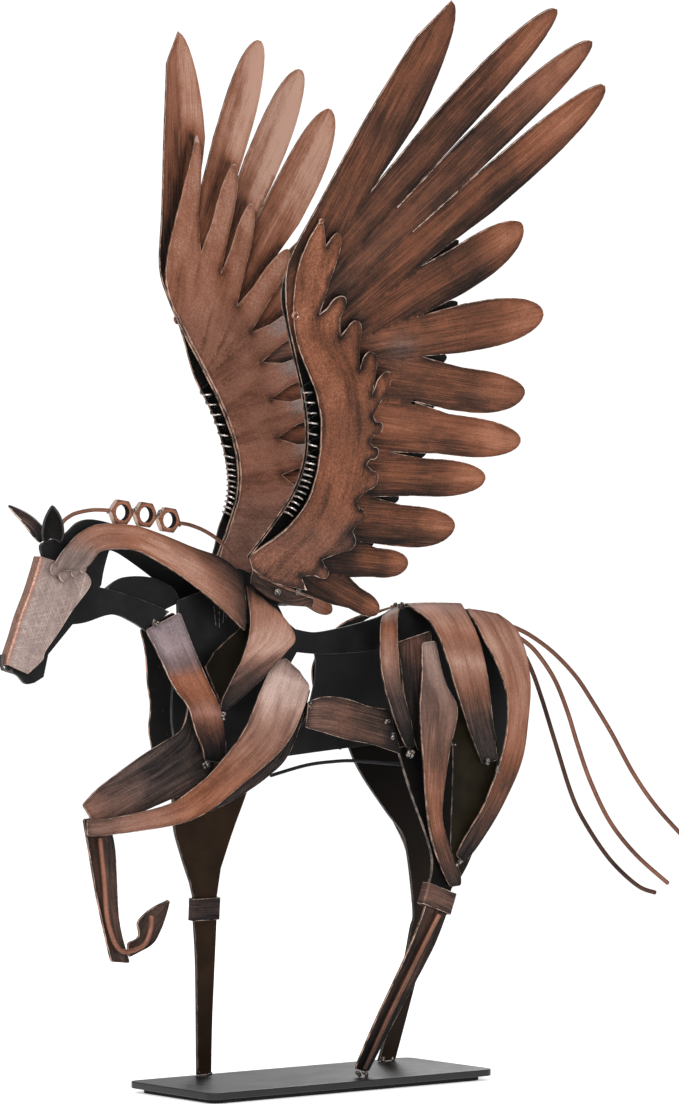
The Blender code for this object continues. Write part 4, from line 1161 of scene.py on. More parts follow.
    strap(
        "left_haunch_inner_band", LEFT,
        [
            (56, 252, 18.6, 29, 12, -8), (53, 238, 23.8, 22, 6), (52, 222, 26, 19, -1),
            (54, 205, 25, 14, -2), (57, 188, 24.9, 7, -2),
        ], tones=(0, 0.48, 0.3, 0.36, 1, 0.18), greys=(0, 0.3, 1, 0.5),
    )
    strap(
        "left_thigh_spear", LEFT,
        [
            (62.6, 249, 23.4, 11, 4, -7), (62, 227, 28.6, 17, -6), (64, 211, 31, 28, -2, -2),
            (61.5, 186, 31.4, 20, -2, -3), (61.5, 155, 30.2, 12, -2, -4), (66.2, 137.3, 29, 12, 0, -3),
            (75.3, 118.5, 28.4, 12, 0), (78.4, 110.6, 28.2, 8, 4),
        ], tones=(0, 0.8, 0.12, 0.77, 0.25, 0.65, 0.45, 0.62, 0.6, 0.68, 0.75, 0.64, 0.88, 0.46, 1, 0.34),
        greys=(0, 0.75, 0.2, 0.6, 0.35, 0.45, 0.5, 0.25, 0.65, 0.1, 0.8, 0.15, 1, 0.5),
    )
    strap(
        "right_thigh_spear", RIGHT,
        [
            (61, 248, 23.4, 8, 15, -7), (62.5, 227, 28.6, 17, -7), (67, 211, 31, 28, -2, -2),
            (73, 186, 31, 20, -2, -3), (83, 155, 29, 14, -2, -4), (93.5, 132, 27.4, 10, 8, -3),
            (97, 112, 26.4, 5, 0),
        ], tones=(0, 0.84, 0.35, 0.76, 0.7, 0.8, 1, 0.5), greys=(0, 0.7, 0.25, 0.5, 0.4, 0.2, 0.6, 0.0),
    )
    strap(
        "left_rump_strap", LEFT,
        RUMP_TOP + [
            (123, 182, 24.6, 22, -9, -18), (108, 157, 27.2, 19, 6, -10), (91.5, 137, 28.2, 13, -14, -4),
            (81.6, 125.6, 28.2, 7.5, -38),
        ], tones=(0, 0.78, 0.15, 0.95, 0.4, 0.91, 0.54, 0.8, 0.66, 0.58, 0.84, 0.4, 1, 0.3),
        greys=(0, 0.2, 0.3, 0.0, 0.6, 0.0, 0.8, 0.2, 1, 0.5),
    )
    strap(
        "right_rump_strap", RIGHT,
        RUMP_TOP + [
            (124, 182, 24.4, 23, -7, -18), (115, 157, 25.2, 19, 6, -10), (106.5, 137, 26.2, 9, -20, -4),
        ], tones=(0, 0.78, 0.15, 0.95, 0.4, 0.91, 0.54, 0.8, 0.66, 0.58, 0.84, 0.4, 1, 0.3),
        greys=(0, 0.2, 0.3, 0.0, 0.6, 0.0, 0.8, 0.2, 1, 0.5),
    )
    strap(
        "left_hind_trough", LEFT,
        [
            (66.6, 99.6, 26.6, 16.4, -20), (57, 80, 26.3, 16.5, -14), (45, 60, 25.4, 15, -13),
            (30, 36.5, 24.6, 13, -13), (14.2, 10.4, 24, 10, -16),
        ], section=TROUGH, tones=(0, 0.46, 0.3, 0.36, 0.7, 0.24, 1, 0.12), greys=(0, 0.35, 1, 0.7),
    )


def make_band(node, middle, hole, height, tilt, tone, greyed=0.3, sheet=COPPER_SHEET):
    """A band folded round a leg, with rounded corners and bare edges."""
    rows = edge_rows(height)
    inner_x, inner_y = hole[0] / 2, hole[1] / 2
    ring = rounded_box(inner_x + SHEET / 2, inner_y + SHEET / 2, min(inner_x, inner_y) * 0.5, 4)
    ring = even_outline(ring, 0.002)
    centre = place(*middle)
    corners = []
    run = 0.0
    tip = Matrix.Rotation(math.radians(tilt[1]), 3, "Y") @ Matrix.Rotation(math.atan(tilt[0]), 3, "X")
    for i, (x, y) in enumerate(ring):
        if i:
            run += math.dist(ring[i], ring[i - 1])
        for done in rows:
            spot = centre + tip @ Vector((x, y, done - height / 2))
            corners.append((spot, (done, run), min(done, height - done), tone, greyed))
    faces = net(len(ring), len(rows), rows_close=True)
    band = skin(f"{node}_folded", faces, sheet, *zip(*corners))
    if sum(1 if face.normal.dot(face.center - centre) > 0 else -1 for face in band.data.polygons) < 0:
        band.data.flip_normals()
    stands_for(thicken(band, SHEET), node)


def make_bands():
    x, z = FORELEG_KNEE
    make_band(
        "right_knee_band", (x, FORELEG_Y - FORELEG_LEAN * (z - SOLE), z),
        hole=(0.0167, SKELETON + 4 * WELD_GAP), height=0.0125, tilt=(FORELEG_LEAN, 0), tone=0.34, greyed=0.5,
        sheet=KNEE_SHEET,
    )
    make_band(
        "left_hock_band", (67.2, -27.5, 104), hole=(0.0196, 0.0044), height=0.0125, tilt=(0, 20), tone=0.5,
        greyed=0.45,
    )


def make_wires():
    wire(
        "left_shin_rod",
        [
            (-166.8, -28.9, 147.6), (-165, -30.4, 124), (-164, -31.4, 105.7), (-160.3, -32.3, 92.9),
            (-155.9, -32.6, 87.3), (-149.6, -32.6, 86.2), (-140, -32.4, 89.6), (-136, -32.4, 97.1),
            (-135.3, -32.4, 104.2),
        ], LEG_ROD, tone=0.66,
    )
    wire(
        "belly_wire",
        [
            (-41, -15, 176.6), (-17, -15.5, 181.5), (2, -16, 183), (17, -17, 183), (38, -20.6, 181),
            (50, -22.1, 180),
        ], BELLY_WIRE, FRAME_BLACK,
    )
    wire(
        "left_hind_rod", [(67, -29.3, 94.6), (57.5, -28.9, 80), (31, -27.7, 37.5), (15.4, -27.2, 11)],
        LEG_ROD, steps=4, tone=(0.72, 0.36),
    )
    wire(
        "tail_rod_1",
        [
            (141.7, 0, 257), (157, -1, 251), (175, -2, 240), (191, -3, 226), (203, -4, 211),
            (217, -5, 192), (233, -6, 168), (250, -7, 148), (271.7, -8, 128.3),
        ], TAIL_ROD, tone=0.62,
    )
    wire(
        "tail_rod_2",
        [
            (141.9, 0, 252.6), (151, 0, 249), (163, 0, 241), (177, 0, 225), (187, 0, 206), (195, 0, 186),
            (205, 0, 164), (220, 0, 140), (240, 0, 120), (265, 0, 102),
        ], TAIL_ROD, tone=0.62,
    )
    # The third rod is toned darker as painted shade, as it lies farthest back
    wire(
        "tail_rod_3",
        [
            (142, 0, 248.4), (152, 1, 243), (162, 3, 231), (172, 5, 213), (184, 7, 187), (197, 8, 157),
            (208, 8, 139), (227, 8, 117), (248, 8, 101), (262, 8, 96),
        ], TAIL_ROD, tone=0.4,
    )


# The wings


def wing_out(x, z):
    """How far out the wing's middle surface stands at a place, in units."""
    root_x, root_out, root_z = WING_ROOT
    rise = z - root_z
    return root_out + WING_LEAN * rise + WING_CURL * rise * rise + WING_SPREAD * (x - root_x)


def outer_lift(x, z):
    """How far the outer coverts stand off the main feathers: they bulge to make room for the spring."""
    rise = np.clip((z - HOLLOW_FOOT) / 20, 0, 1)
    fall = np.clip((HOLLOW_TOP - z) / 40, 0, 1)
    hollow = rise * rise * (3 - 2 * rise) * fall * fall * (3 - 2 * fall)
    return COVERT_GAP + SPRING_ROOM * hollow * (1 - 0.6 * np.clip((x + 32) / 60, 0, 1))


FINE_SHARES = (0.12, 0.24, 0.35, 0.45, 0.55, 0.64, 0.72, 0.79, 0.85, 0.9, 0.94, 0.97, 0.99)


def feather(before, tip, after, left, right, blunt):
    """Up to a feather's tip from one notch, and down to the next, with its width on either side."""
    base = ((before[0] + after[0]) / 2, (before[1] + after[1]) / 2)
    along = (tip[0] - base[0], tip[1] - base[1])
    length = math.hypot(*along)
    along = (along[0] / length, along[1] / length)
    normal = (-along[1], along[0])
    sides = []
    for notch, width in ((before, left), (after, -right)):
        away = (notch[0] - base[0], notch[1] - base[1])
        reach = (away[0] * along[0] + away[1] * along[1]) / length
        start = away[0] * normal[0] + away[1] * normal[1]
        full = max(0.35, reach + 0.3)
        points = []
        for share in FINE_SHARES:
            if share < reach + 0.02:
                continue
            taper = math.sqrt(1 - (max(share - 0.5, 0) / 0.5) ** blunt)
            offset = (start + (width - start) * min((share - reach) / (full - reach), 1)) * taper
            points.append(tuple(base[k] + along[k] * length * share + normal[k] * offset for k in (0, 1)))
        sides.append(points)
    return sides[0], [tip] + sides[1][::-1] + [after]


def feather_axes(start, rows):
    """Each feather's foot, direction, length and half width, for its strokes and its crown."""
    found = []
    before = start
    for tip, after, left, right in rows:
        foot = np.array(((before[0] + after[0]) / 2, (before[1] + after[1]) / 2))
        along = np.array(tip) - foot
        length = np.linalg.norm(along)
        found.append((foot, along / length, length, (left + right) / 2))
        before = after
    return found


def feather_places(spots, axes):
    """For each spot its feather, and its shares along and places across all of them."""
    costs, shares, acrosses = [], [], []
    for foot, along, length, width in axes:
        from_foot = spots - foot
        share = from_foot @ along / length
        across = from_foot @ np.array((-along[1], along[0]))
        spread = width * (1 + 0.5 * np.clip(-share, 0, 2))
        beyond = 4 * np.clip(share - 1.02, 0, None) + 0.4 * np.clip(-share - 0.9, 0, None)
        costs.append(np.abs(across) / spread + beyond)
        shares.append(share)
        acrosses.append(across)
    return np.argmin(costs, axis=0), np.array(shares), np.array(acrosses)


def make_vanes(ending, edge, first, rows, blunt, foot, lift, pitch, crown, materials, paint):
    """A sheet of feathers cut to an outline and bent to the wing's surface, one for each wing."""
    spots, faces, rim = filled(feather_outline(edge, first, rows, blunt, foot), pitch)
    axes = feather_axes(first[0], [first[1:]] + rows)
    chosen, shares, acrosses = feather_places(spots, axes)
    picked = np.arange(len(spots))
    share = shares[chosen, picked]
    across = acrosses[chosen, picked] / np.array([axis[3] for axis in axes])[chosen]
    crease = np.clip(1 - np.sqrt(np.clip(across, -1, 1) ** 2 + 0.012), 0, 1)
    bulge = crown * crease * ease(share, -0.05, 0.35) * ease(-share, -1.0, -0.8)
    x, z = spots.T
    out = wing_out(x, z) + (lift(x, z) if callable(lift) else lift) + bulge
    tone, tone_inner, greyed, combed = paint(spots, rim, chosen, share, across)
    if combed is None:
        middles = np.array([spots[list(face)].mean(axis=0) for face in faces])
        strokes = [
            {
                corner: (acrosses[k, corner] * UNIT + k * 0.31, shares[k, corner] * axes[k][2] * UNIT)
                for corner in face
            }
            for face, k in zip(faces, feather_places(middles, axes)[0])
        ]
    else:
        strokes = combed * UNIT
    for word, side in SIDES.items():
        node = f"{word}_wing_{ending}"
        places = [place(x, side * y, z) for (x, z), y in zip(spots, out)]
        sheet = skin(
            f"{node}_cut", faces, materials, places, strokes, rim * UNIT, tone, greyed, Vector((0, side, 0)),
            tone_inner,
        )
        stands_for(thicken(sheet, SHEET), node)


# Each feather's tip, the notch after it and its width before and behind. A first feather starts with a notch
LEADING_EDGE_LOW = [
    (-56, 298), (-43, 316.5), (-33.5, 333), (-29.6, 350), (-31, 367), (-36.5, 385), (-45.5, 405),
    (-54, 423),
]
MAIN_LEADING_EDGE = LEADING_EDGE_LOW + [(-60.3, 440), (-62.6, 460), (-51.5, 492), (-35, 538), (-18, 580)]
MAIN_FIRST = ((-57, 441), (-2, 599.6), (-22, 498), 11, 16.6)
MAIN_FEATHERS = [
    ((65, 598), (-3, 490), 12.6, 10.4), ((93, 582), (10, 477), 12.2, 10.6), ((109, 559), (19, 458),
    10.8, 14.8), ((79, 482), (25, 431), 11.5, 16.2), ((105, 433), (32, 409), 14.2, 13.4), ((103, 389),
    (33, 384), 9.6, 14.4), ((106, 362), (22, 356), 10.2, 12.2), ((87, 341), (16, 331), 10, 11.2),
    ((72, 314), (12, 306), 9.6, 13.6), ((45, 293), (9, 286), 7.6, 8.8), ((30, 266), (-1, 271), 6.8, 6),
]
MAIN_FOOT = [(-18, 277), (-40, 284), (-53, 293)]
INNER_LEADING_EDGE = LEADING_EDGE_LOW + [(-62, 443), (-57.5, 465), (-30, 510)]
INNER_FIRST = ((-57, 468), (-12, 538), (-30, 469), 8, 7)
INNER_FEATHERS = [
    ((14, 522), (-17, 458), 6, 7), ((20, 499), (-10, 439), 6, 7), ((42, 473), (-3, 424), 6, 7), ((50, 439),
    (1, 407), 6, 7), ((50, 409), (3, 386), 6, 7), ((52, 386), (3, 364), 6, 7), ((48, 356), (2, 343), 6, 7),
    ((35, 330), (-2, 318), 6, 6), ((23, 305), (-14, 295), 6, 6),
]
INNER_FOOT = [(-40, 287), (-53, 294)]
OUTER_LEADING_EDGE = [
    (-58, 298), (-41.5, 315), (-31.5, 331), (-29, 350), (-31.2, 370), (-37, 386), (-45.5, 402),
    (-52.5, 421), (-57, 440), (-57.8, 458), (-55, 472),
]
OUTER_FIRST = ((-57, 450), (-51, 481), (-44, 468), 4, 5)
OUTER_FEATHERS = [
    ((-38, 475), (-39, 431), 4, 5), ((-26, 441), (-24, 419), 6, 4), ((-15, 428), (-11, 401), 5, 5),
    ((-4, 411), (-1, 388), 5, 5), ((9, 400), (2, 376), 5, 4), ((10, 369), (3, 362), 3.5, 3.5), ((10, 355),
    (3, 349), 3.5, 3.5), ((12, 343), (0, 329), 4, 6), ((7, 320), (1, 312), 4, 4), ((6, 305), (-12, 296),
    5, 4), ((-7, 287), (-24, 287), 4, 3),
]
OUTER_FOOT = [(-19, 279), (-40, 283), (-55, 291)]
MAIN_SHEET = (WING_OUTER, WING_INNER, CUT_EDGE)
INNER_COVERT_SHEET = (INNER_BLACK, COVERT_INNER, CUT_EDGE)
OUTER_COVERT_SHEET = (COVERT_COPPER, INNER_BLACK, CUT_EDGE)
MAIN_BLUNT, INNER_BLUNT, OUTER_BLUNT = 2.2, 1.8, 2.4


def feather_outline(edge, first, rows, blunt, foot):
    """A whole sheet: up its leading edge, round the first feather, down the others and along its foot."""
    points = smooth(edge, 5) + feather(*first, 2.0)[1]
    before = first[2]
    for tip, after, left, right in rows:
        rising, falling = feather(before, tip, after, left, right, blunt)
        points += rising + falling
        before = after
    return points + foot


def notch_distance(spots, rows):
    """How far each spot is from the nearest notch between two feathers."""
    notches = np.array([row[1] for row in rows])
    return np.linalg.norm(spots[:, None] - notches[None], axis=2).min(axis=1)


# Each main feather's tone by its root, how far it is smoked in its middle, its tip's tone, how far its
# lower edge is darkened with painted shade, and its greyness
FEATHER_PAINT = (
    (0.51, 0.00, 0.63, 0.10, 0.03), (0.50, 0.03, 0.67, 0.12, 0.05), (0.52, 0.05, 0.70, 0.10, 0.10),
    (0.54, 0.01, 0.72, 0.14, 0.03), (0.53, 0.02, 0.72, 0.14, 0.03), (0.57, 0.01, 0.73, 0.12, 0.03),
    (0.57, 0.02, 0.70, 0.10, 0.05), (0.66, 0.00, 0.77, 0.10, 0.04), (0.57, 0.02, 0.75, 0.12, 0.03),
    (0.52, 0.03, 0.71, 0.12, 0.05), (0.50, 0.01, 0.69, 0.12, 0.03), (0.48, 0.02, 0.66, 0.10, 0.04),
)


def paint_main(spots, rim, chosen, share, across):
    """Painted shadow by the outer coverts and painted shade on each feather's lower edge, black inside the
    spring's gap.
    """
    outer = feather_outline(OUTER_LEADING_EDGE, OUTER_FIRST, OUTER_FEATHERS, OUTER_BLUNT, OUTER_FOOT)
    inner = feather_outline(INNER_LEADING_EDGE, INNER_FIRST, INNER_FEATHERS, INNER_BLUNT, INNER_FOOT)
    z = spots[:, 1]
    root, smoked, tip, lower_edge_shade, grey = np.array(FEATHER_PAINT)[chosen].T
    tone = root + (tip - root) * ease(share, 0.45, 0.8)
    tone -= smoked * ease(share, 0.02, 0.3) * ease(-share, -0.72, -0.42)
    # painted shade along each feather's lower edge, the shaded side of its crease
    tone -= lower_edge_shade * ease(-across, 0.1, 0.9) + 0.05 * across**2
    # painted shadow of the outer coverts, darkest where they cover the sheet
    tone -= np.where(within(spots, outer), 0.4, 0.22 * np.exp(-edge_distance(spots, outer) / 4.5))
    sponged = np.exp(-(((spots[:, 0] - 18) / 10) ** 2) - ((z - 414) / 6) ** 2)
    tone += 0.1 * sponged
    edge = nearest_on_line(spots, smooth(MAIN_LEADING_EDGE, 5))[0]
    strip = ease(-edge, -10, -7) * ease(z, 400, 415)
    tone = tone * (1 - strip) + 0.52 * strip
    gap = ease(-edge, -17, -14) * ease(-z, -412, -400)
    tone = tone * (1 - gap) - 0.05 * gap
    # inner face: painted shadow beside the inner coverts, and painted shade on one half of each crease
    behind = edge_distance(spots + (2.0, 0.0), inner)
    tone_inner = 0.95 + 0.08 * ease(share, 0.1, 0.7) - 0.15 * ease(across, -0.05, 0.15)
    tone_inner += np.select([chosen == 0, chosen < 3], [-0.03, 0.09], 0.0)
    tone_inner -= 0.42 * np.exp(-behind / 4) + 0.12 * np.exp(-behind / 25)
    return tone, tone_inner, grey + 0.5 * sponged, None


def paint_inner_coverts(spots, rim, chosen, share, across):
    """Even copper, with dark smudges in the notches, a painted highlight along one edge of each feather, and
    a grey sheen over the lower tips.
    """
    tone = 0.86 + 0.05 * ease(share, 0.3, 1) - 0.27 * np.exp(-notch_distance(spots, INNER_FEATHERS) / 4)
    # painted highlight along one edge of each feather
    tone += 0.16 * ease(-rim, -1.2, -0.3) * ease(across, 0.2, 0.6)
    low = ease(-spots[:, 1], -445, -425)
    foot = ease(-spots[:, 1], -345, -310)
    greyed = 0.05 + 0.12 * low + 0.80 * low * ease(share, 0.15, 0.5) * ease(across, -0.5, 0.0) + 0.25 * foot
    tone -= 0.04 * low * ease(-share, 0.0, 0.6) + 0.06 * foot + 0.05 * low
    return tone, tone, greyed, None


def paint_outer_coverts(spots, rim, chosen, share, across):
    """Copper combed down along the leading edge, with dark blotches by the other edge and the notches."""
    z = spots[:, 1]
    edge, run = nearest_on_line(spots, smooth(OUTER_LEADING_EDGE, 5))
    blotches = 0.5 + 0.5 * np.sin(z * 0.31 + 2 * np.sin(z * 0.083))
    tone = 0.665 - 0.18 * ease(-rim, -4.5, -1.5) * ease(edge, 5, 12) * blotches
    tone += 0.07 * ease(z, 400, 480)
    tone -= 0.26 * np.exp(-notch_distance(spots, OUTER_FEATHERS) / 3.5)
    low = ease(-z, -335, -300)
    tone -= 0.06 * low
    return tone, tone, 0.03 + 0.15 * low, np.stack([edge, run], axis=1)


BRACKET_STATIONS = (
    (-53, 284, 291, -43, 1.7), (-46, 279, 286.2, -40, 1.7), (-38, 274.5, 283, -34, 1.7),
    (-26, 271.5, 278.6, -26, 1.7), (-12, 270.2, 274.4, -12, 8),
)
BRACKET_STEP = 0.0011
SPRING_GUIDE = [(-41, 393), (-35, 381), (-31, 367), (-29, 350), (-31.5, 334), (-39, 319)]
LOOSE_PITCH, DENSE_PITCH = 7.0, 3.5
DENSE_TOP = 352
COIL_POINTS = 20


def make_spring(node, side):
    """A coil along the leading edge, with open turns above and close turns below, and painted shade making
    the inner half of each turn black.
    """
    guide = smooth(SPRING_GUIDE, 8)
    radius = (SPRING_DIAMETER - SPRING_WIRE) / 2 / UNIT
    route, smoked_rim_and_lit_coil = [], []
    angle = 0.0
    for (x1, z1), (x2, z2) in zip(guide, guide[1:]):
        length = math.hypot(x2 - x1, z2 - z1)
        slant = math.atan2(z2 - z1, x2 - x1)
        done = 0.0
        while done < length:
            x = x1 + (x2 - x1) * done / length
            z = z1 + (z2 - z1) * done / length
            swing = radius * math.cos(angle)
            out = wing_out(x, z) + (COVERT_GAP + SPRING_ROOM) / 2 + side * radius * math.sin(angle)
            route.append(place(x - swing * math.sin(slant), side * out, z + swing * math.cos(slant)))
            # 1 on the lit half of each turn, outside the leading edge; 0 on the inner half, painted black as
            # shade
            smoked_rim_and_lit_coil.append(float(ease(-math.cos(angle), 0.0, 0.5)))
            angle += 2 * math.pi / COIL_POINTS
            done += (LOOSE_PITCH if z > DENSE_TOP else DENSE_PITCH) / COIL_POINTS
    stands_for(tube(f"{node}_coiled", route, SPRING_WIRE / 2, SPRING_STEEL, sides=8, tone=smoked_rim_and_lit_coil), node)


def make_bracket(node, side):
    """The folded strip that carries the wing's root on the back plate: a shelf and a flange."""
    rows = smooth(BRACKET_STATIONS, 10)
    shelf = (0.0, 0.05, 0.15, 0.4, 0.7, 0.9)
    flange = (0.0, 0.12, 0.35, 0.65, 0.88, 1.0)
    corners = []
    for i, (x, low, high, inner_x, inner_y) in enumerate(rows):
        inner = place(inner_x, side * inner_y, low)
        bend = place(x, side * (wing_out(x, low) - 0.5), low)
        top = place(x, side * wing_out(x, high), high)
        wide, tall = (bend - inner).length, (top - bend).length
        run, end = i * BRACKET_STEP, min(i, len(rows) - 1 - i) * BRACKET_STEP
        for share in shelf:
            away = share * wide
            corners.append((inner.lerp(bend, share), (away, run), min(away, end), 0.2, 0.3))
        for share in flange:
            rim = min((1 - share) * tall, end)
            corners.append((bend.lerp(top, share), (wide + share * tall, run), rim, 0.42, 0.3))
    faces = net(len(rows), len(shelf) + len(flange))
    strip = skin(f"{node}_folded", faces, COPPER_SHEET, *zip(*corners), Vector((0, side, -0.5)))
    stands_for(thicken(strip, SHEET), node)


def make_wings():
    """Main feathers, an inner and an outer row of coverts, the spring in their leading edge and a bracket."""
    make_vanes(
        "main_feathers", MAIN_LEADING_EDGE, MAIN_FIRST, MAIN_FEATHERS, MAIN_BLUNT, MAIN_FOOT, 0.0, 2.8, 1.4,
        MAIN_SHEET, paint_main,
    )
    make_vanes(
        "inner_coverts", INNER_LEADING_EDGE, INNER_FIRST, INNER_FEATHERS, INNER_BLUNT, INNER_FOOT,
        -COVERT_GAP, 2.4, -0.8, INNER_COVERT_SHEET, paint_inner_coverts,
    )
    make_vanes(
        "outer_coverts", OUTER_LEADING_EDGE, OUTER_FIRST, OUTER_FEATHERS, OUTER_BLUNT, OUTER_FOOT, outer_lift,
        2.0, 0.6, OUTER_COVERT_SHEET, paint_outer_coverts,
    )
    for word, side in SIDES.items():
        make_spring(f"{word}_wing_spring", side)
        make_bracket(f"{word}_wing_bracket", side)


# Welds, bolts and rivets

# Node, place, size and number of beads of each weld: both sides of the horse, and single ones
PAIRED_WELDS = (
    ("throat_strap", -113.0, 6.0, 262.7, 1.3, 6), ("withers_strap", -85.3, 30.5, 211.4, 1.2, 4),
    ("throat_strap", -93.8, 25.5, 184.7, 1.2, 5), ("croup_front_strap", 60.7, 3.6, 268.9, 1.1, 4),
    ("croup_strap", 103.0, 30.5, 180.5, 1.1, 4), ("croup_strap", 109.6, 29.5, 175.5, 1.2, 5),
)
SINGLE_WELDS = (
    ("left_croup_front_strap", 46.0, -29.5, 187.0, 1.5, 6), ("left_flank_band", 30.7, -28.6, 206.0, 1.1,
    4), ("left_flank_band", 35.4, -28.4, 196.5, 1.3, 5), ("left_rump_strap", 80.4, -31.0, 123.4, 1.2, 5),
    ("left_thigh_spear", 74.4, -33.2, 191.9, 0.6, 3), ("left_flank_band", -19.0, -23.2, 215.0, 0.8, 4),
    ("mane_nut_2", -122.8, 0.0, 323.4, 1.1, 5), ("mane_nut_3", -106.4, 0.0, 321.9, 1.1, 5),
    ("mane_nut_1", -139.8, 0.0, 323.4, 0.7, 3), ("mane_nut_3", -92.8, 0.0, 316.2, 0.7, 3),
    ("right_fore_cannon", -53.8, 35.4, 7.6, 0.9, 3), ("right_fore_cannon", -46.0, 35.4, 7.6, 0.9, 3),
    ("left_hind_trough", 12.0, -26.6, 8.8, 1.1, 5), ("left_hind_trough", 16.6, -26.4, 8.6, 1.1, 5),
    ("right_hind_leg_plate", 71.4, 28.0, 7.6, 1.0, 3), ("right_hind_leg_plate", 80.0, 28.0, 7.6, 1.0, 3),
)
CREST_LOBES = ((-181.6, 292.2, 3.3), (-175.2, 289.4, 4.2), (-168.4, 290.8, 3.2), (-163.4, 292.6, 2.5))
CREST_LOBE_OUT = 8.5
RING_RIVETS = ((-50.0, 481.0, 3.2, 1.9), (-54.0, 430.3, 5.0, 2.5))
BRACKET_BOLTS = ((-37.5, 16.4, 278.3), (-23.6, 17.4, 278.1))
MUZZLE_LUMP = (-207.2, -0.6, 239.8)
CHEST_LEAF = (
    (-50.0, 262.0), (-57.1, 258.5), (-63.3, 254.2), (-75.0, 245.6), (-81.2, 237.4), (-76.4, 228.0),
    (-70.9, 217.9), (-62.7, 224.3), (-56.4, 236.4), (-50.0, 240.0),
)
CHEST_SCRATCHES = (
    ((-70.0, 270.7), (-68.6, 259.7)), ((-66.4, 271.4), (-66.2, 258.8)), ((-62.6, 271.0), (-63.9, 260.7)),
    ((-60.3, 270.6), (-61.9, 263.0)),
)


def make_ring(radius, bore, height):
    """A ring's profile with its edges rounded."""
    soft = height * 0.3
    return [
        (radius, 0.0), (radius, height - soft), (radius - soft, height), (bore + soft, height),
        (bore, height - soft), (bore, 0.0),
    ]


def make_dome(radius, height):
    """A domed head's profile, from its foot up to its middle."""
    rises = [math.radians(rise) for rise in (0, 20, 40, 60, 75, 86)]
    return [(radius, -height * 0.4)] + [(radius * math.cos(rise), height * math.sin(rise)) for rise in rises]


def make_small_parts():
    """What is too small for the part: welds, lobes, rivets, bolts, a leaf, scratches and a seam."""
    for word, side in SIDES.items():
        for number, (node, x, out, z, size, beads) in enumerate(PAIRED_WELDS, 1):
            weld(f"{word}_weld_{number}", f"{word}_{node}", x, side * out, z, size, beads)
        for number, (x, z, radius) in enumerate(CREST_LOBES, 1):
            middle, dome = place(x, side * CREST_LOBE_OUT, z), make_dome(radius * UNIT, 0.0007)
            name, node = f"{word}_crest_lobe_{number}", f"{word}_crest_band"
            turned(name, node, middle, (0, side, 0), dome, COPPER, 0.72, 0.9)
        facing = (-WING_SPREAD, side, -WING_LEAN)
        for number, (x, z, radius, over) in enumerate(RING_RIVETS, 1):
            middle = place(x, side * (wing_out(x, z) + over + 0.7), z)
            name, node = f"{word}_ring_rivet_{number}", f"{word}_wing_outer_coverts"
            ring = make_ring(radius * UNIT / 2, radius * UNIT / 5, 0.0010)
            turned(name, node, middle, facing, ring, BOLT_COPPER)
        fittings = {"washer": make_ring(0.0020, 0.0010, 0.0005), "bolt": make_dome(0.0012, 0.0011)}
        for number, (x, out, z) in enumerate(BRACKET_BOLTS, 1):
            for kind, profile in fittings.items():
                name, middle = f"{word}_{kind}_{number}", place(x, side * out, z)
                turned(name, f"{word}_wing_bracket", middle, facing, profile, WELD_STEEL)
    lump = make_dome(0.0018, 0.0010)
    turned("muzzle_lump", "head_neck_plate", place(*MUZZLE_LUMP), (0, -1, 0), lump, FRAME_BLACK, 0.3, 0.6)
    for number, (node, *rest) in enumerate(SINGLE_WELDS, 1):
        weld(f"weld_{number}", node, *rest)
    leaf = cut_sheet("chest_leaf_cut", -8, list(CHEST_LEAF), LEAF_SHEET, SHEET, tone=0.5)
    belongs_to(leaf)
    for number, ends in enumerate(CHEST_SCRATCHES, 1):
        route = [place(x, -1.1, z) for x, z in ends]
        belongs_to(tube(f"chest_scratch_{number}", route, 0.00026, WELD_STEEL, sides=8))
    front = list(SPEAR_SHADE[:-1])
    seam = front + [(x + 0.9, z) for x, z in reversed(front)]
    strip = cut_sheet("left_thigh_seam", THIGH_Y - 1.2, seam, SEAM_SHEET, 0.0006, lean=THIGH_LEAN, pitch=2.0)
    belongs_to(strip)


# Camera, floor and light

CAMERA_PLACE = (-1.8183, -2.3564, 0.3387)
CAMERA_AZIMUTH = math.radians(-37.942)
CAMERA_PITCH = math.radians(0.746)
CAMERA_LENS = 173.17
FLOOR_RINGS = (0.5, 0.9, 1.3)
LIGHT_AIM = (0, 0, 0.3)
WHITE = (1, 1, 1)


def make_camera():
    data = bpy.data.cameras.new("camera")
    data.lens = CAMERA_LENS
    data.sensor_width = 36.0
    data.clip_end = 20.0
    camera = add_to_scene("camera", data)
    camera.location = CAMERA_PLACE
    camera.rotation_euler = (math.radians(90) - CAMERA_PITCH, 0, CAMERA_AZIMUTH)
    bpy.context.scene.camera = camera


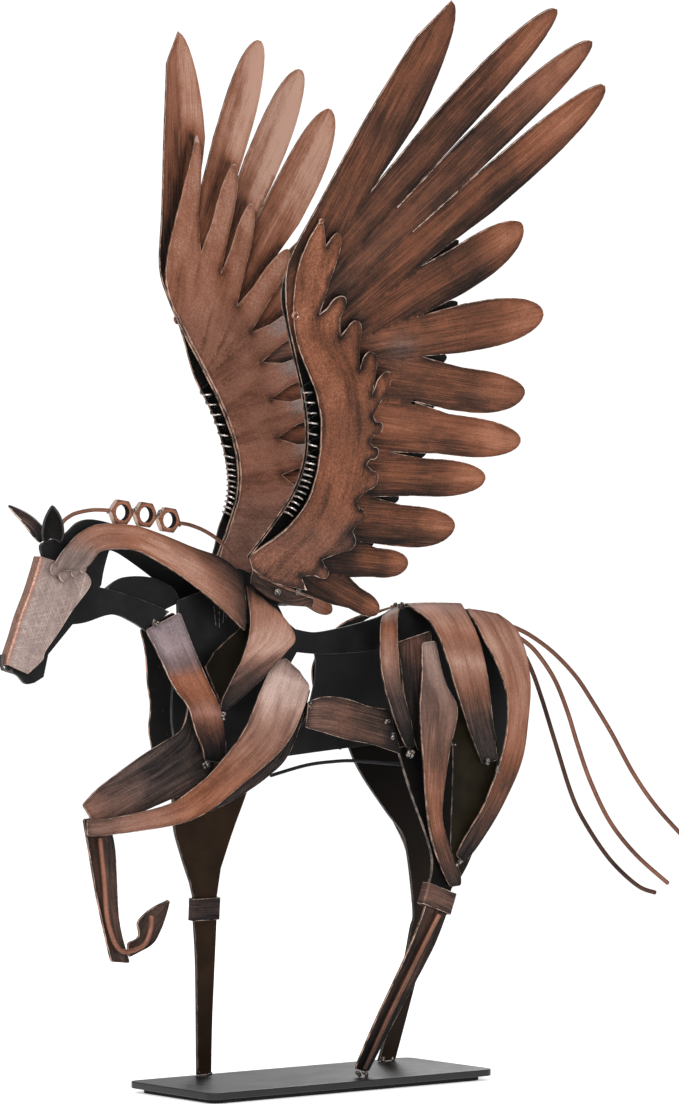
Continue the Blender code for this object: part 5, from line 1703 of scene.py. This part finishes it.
def make_floor():
    """A pale floor, bright enough that its far edge is lost in the background."""
    material, n, shader = new_material("pale_floor")
    grain = n.noise(n.where(), scale=90.0, detail=3.0)
    n.feed(shader, {
        "Base Color": n.mixed(grain, (0.86, 0.86, 0.86), (0.89, 0.89, 0.89)),
        "Roughness": n.ranged(grain, 0.3, 0.7, 0.75, 0.85),
        "Emission Color": WHITE,
        "Emission Strength": 0.45,
    })
    around = 96
    form = bmesh.new()
    middle = form.verts.new((0, 0, 0))
    loops = [
        [form.verts.new((radius * cos, radius * sin, 0)) for angle, cos, sin in circle(around)]
        for radius in FLOOR_RINGS
    ]
    for k in range(around):
        after = (k + 1) % around
        form.faces.new((middle, loops[0][k], loops[0][after]))
        for near, far in zip(loops, loops[1:]):
            form.faces.new((near[k], far[k], far[after], near[after]))
    add_to_scene("floor", formed("floor", form, material))


def make_light(name, spot, size, power):
    """A soft light, aimed at the figure's middle."""
    data = bpy.data.lights.new(name, "AREA")
    data.shape = "RECTANGLE"
    data.size, data.size_y = size
    data.energy = power
    lamp = add_to_scene(name, data)
    lamp.location = spot
    lamp.rotation_euler = (Vector(LIGHT_AIM) - Vector(spot)).to_track_quat("-Z", "Y").to_euler()


def make_world():
    """A soft white room, seen brighter than it lights."""
    world = bpy.data.worlds.new("studio")
    bpy.context.scene.world = world
    world.use_nodes = True
    n = Nodes(world.node_tree)
    lit = n.tree.nodes["Background"]
    n.feed(lit.inputs, {"Color": WHITE, "Strength": 0.42})
    seen = n.node("ShaderNodeBackground", {"Color": WHITE, "Strength": 1.1})[0]
    by_camera = n.node("ShaderNodeLightPath")["Is Camera Ray"]
    room = n.node("ShaderNodeMixShader", {0: by_camera, 1: lit.outputs[0], 2: seen})[0]
    n.feed(n.tree.nodes["World Output"].inputs, {"Surface": room})


make_camera()
make_world()
make_floor()
make_light("key_softbox", (-2.4, -1.6, 2.2), (1.6, 1.6), 105)
make_light("front_softbox", (-0.6, -3.0, 1.0), (1.2, 1.2), 22)
make_light("rim_softbox", (1.8, 1.6, 1.6), (0.8, 1.4), 26)
bpy.context.scene.view_settings.view_transform = "Standard"

make_base()
make_plates()
make_face()
make_mane()
make_straps()
make_bands()
make_wires()
make_wings()
make_small_parts()
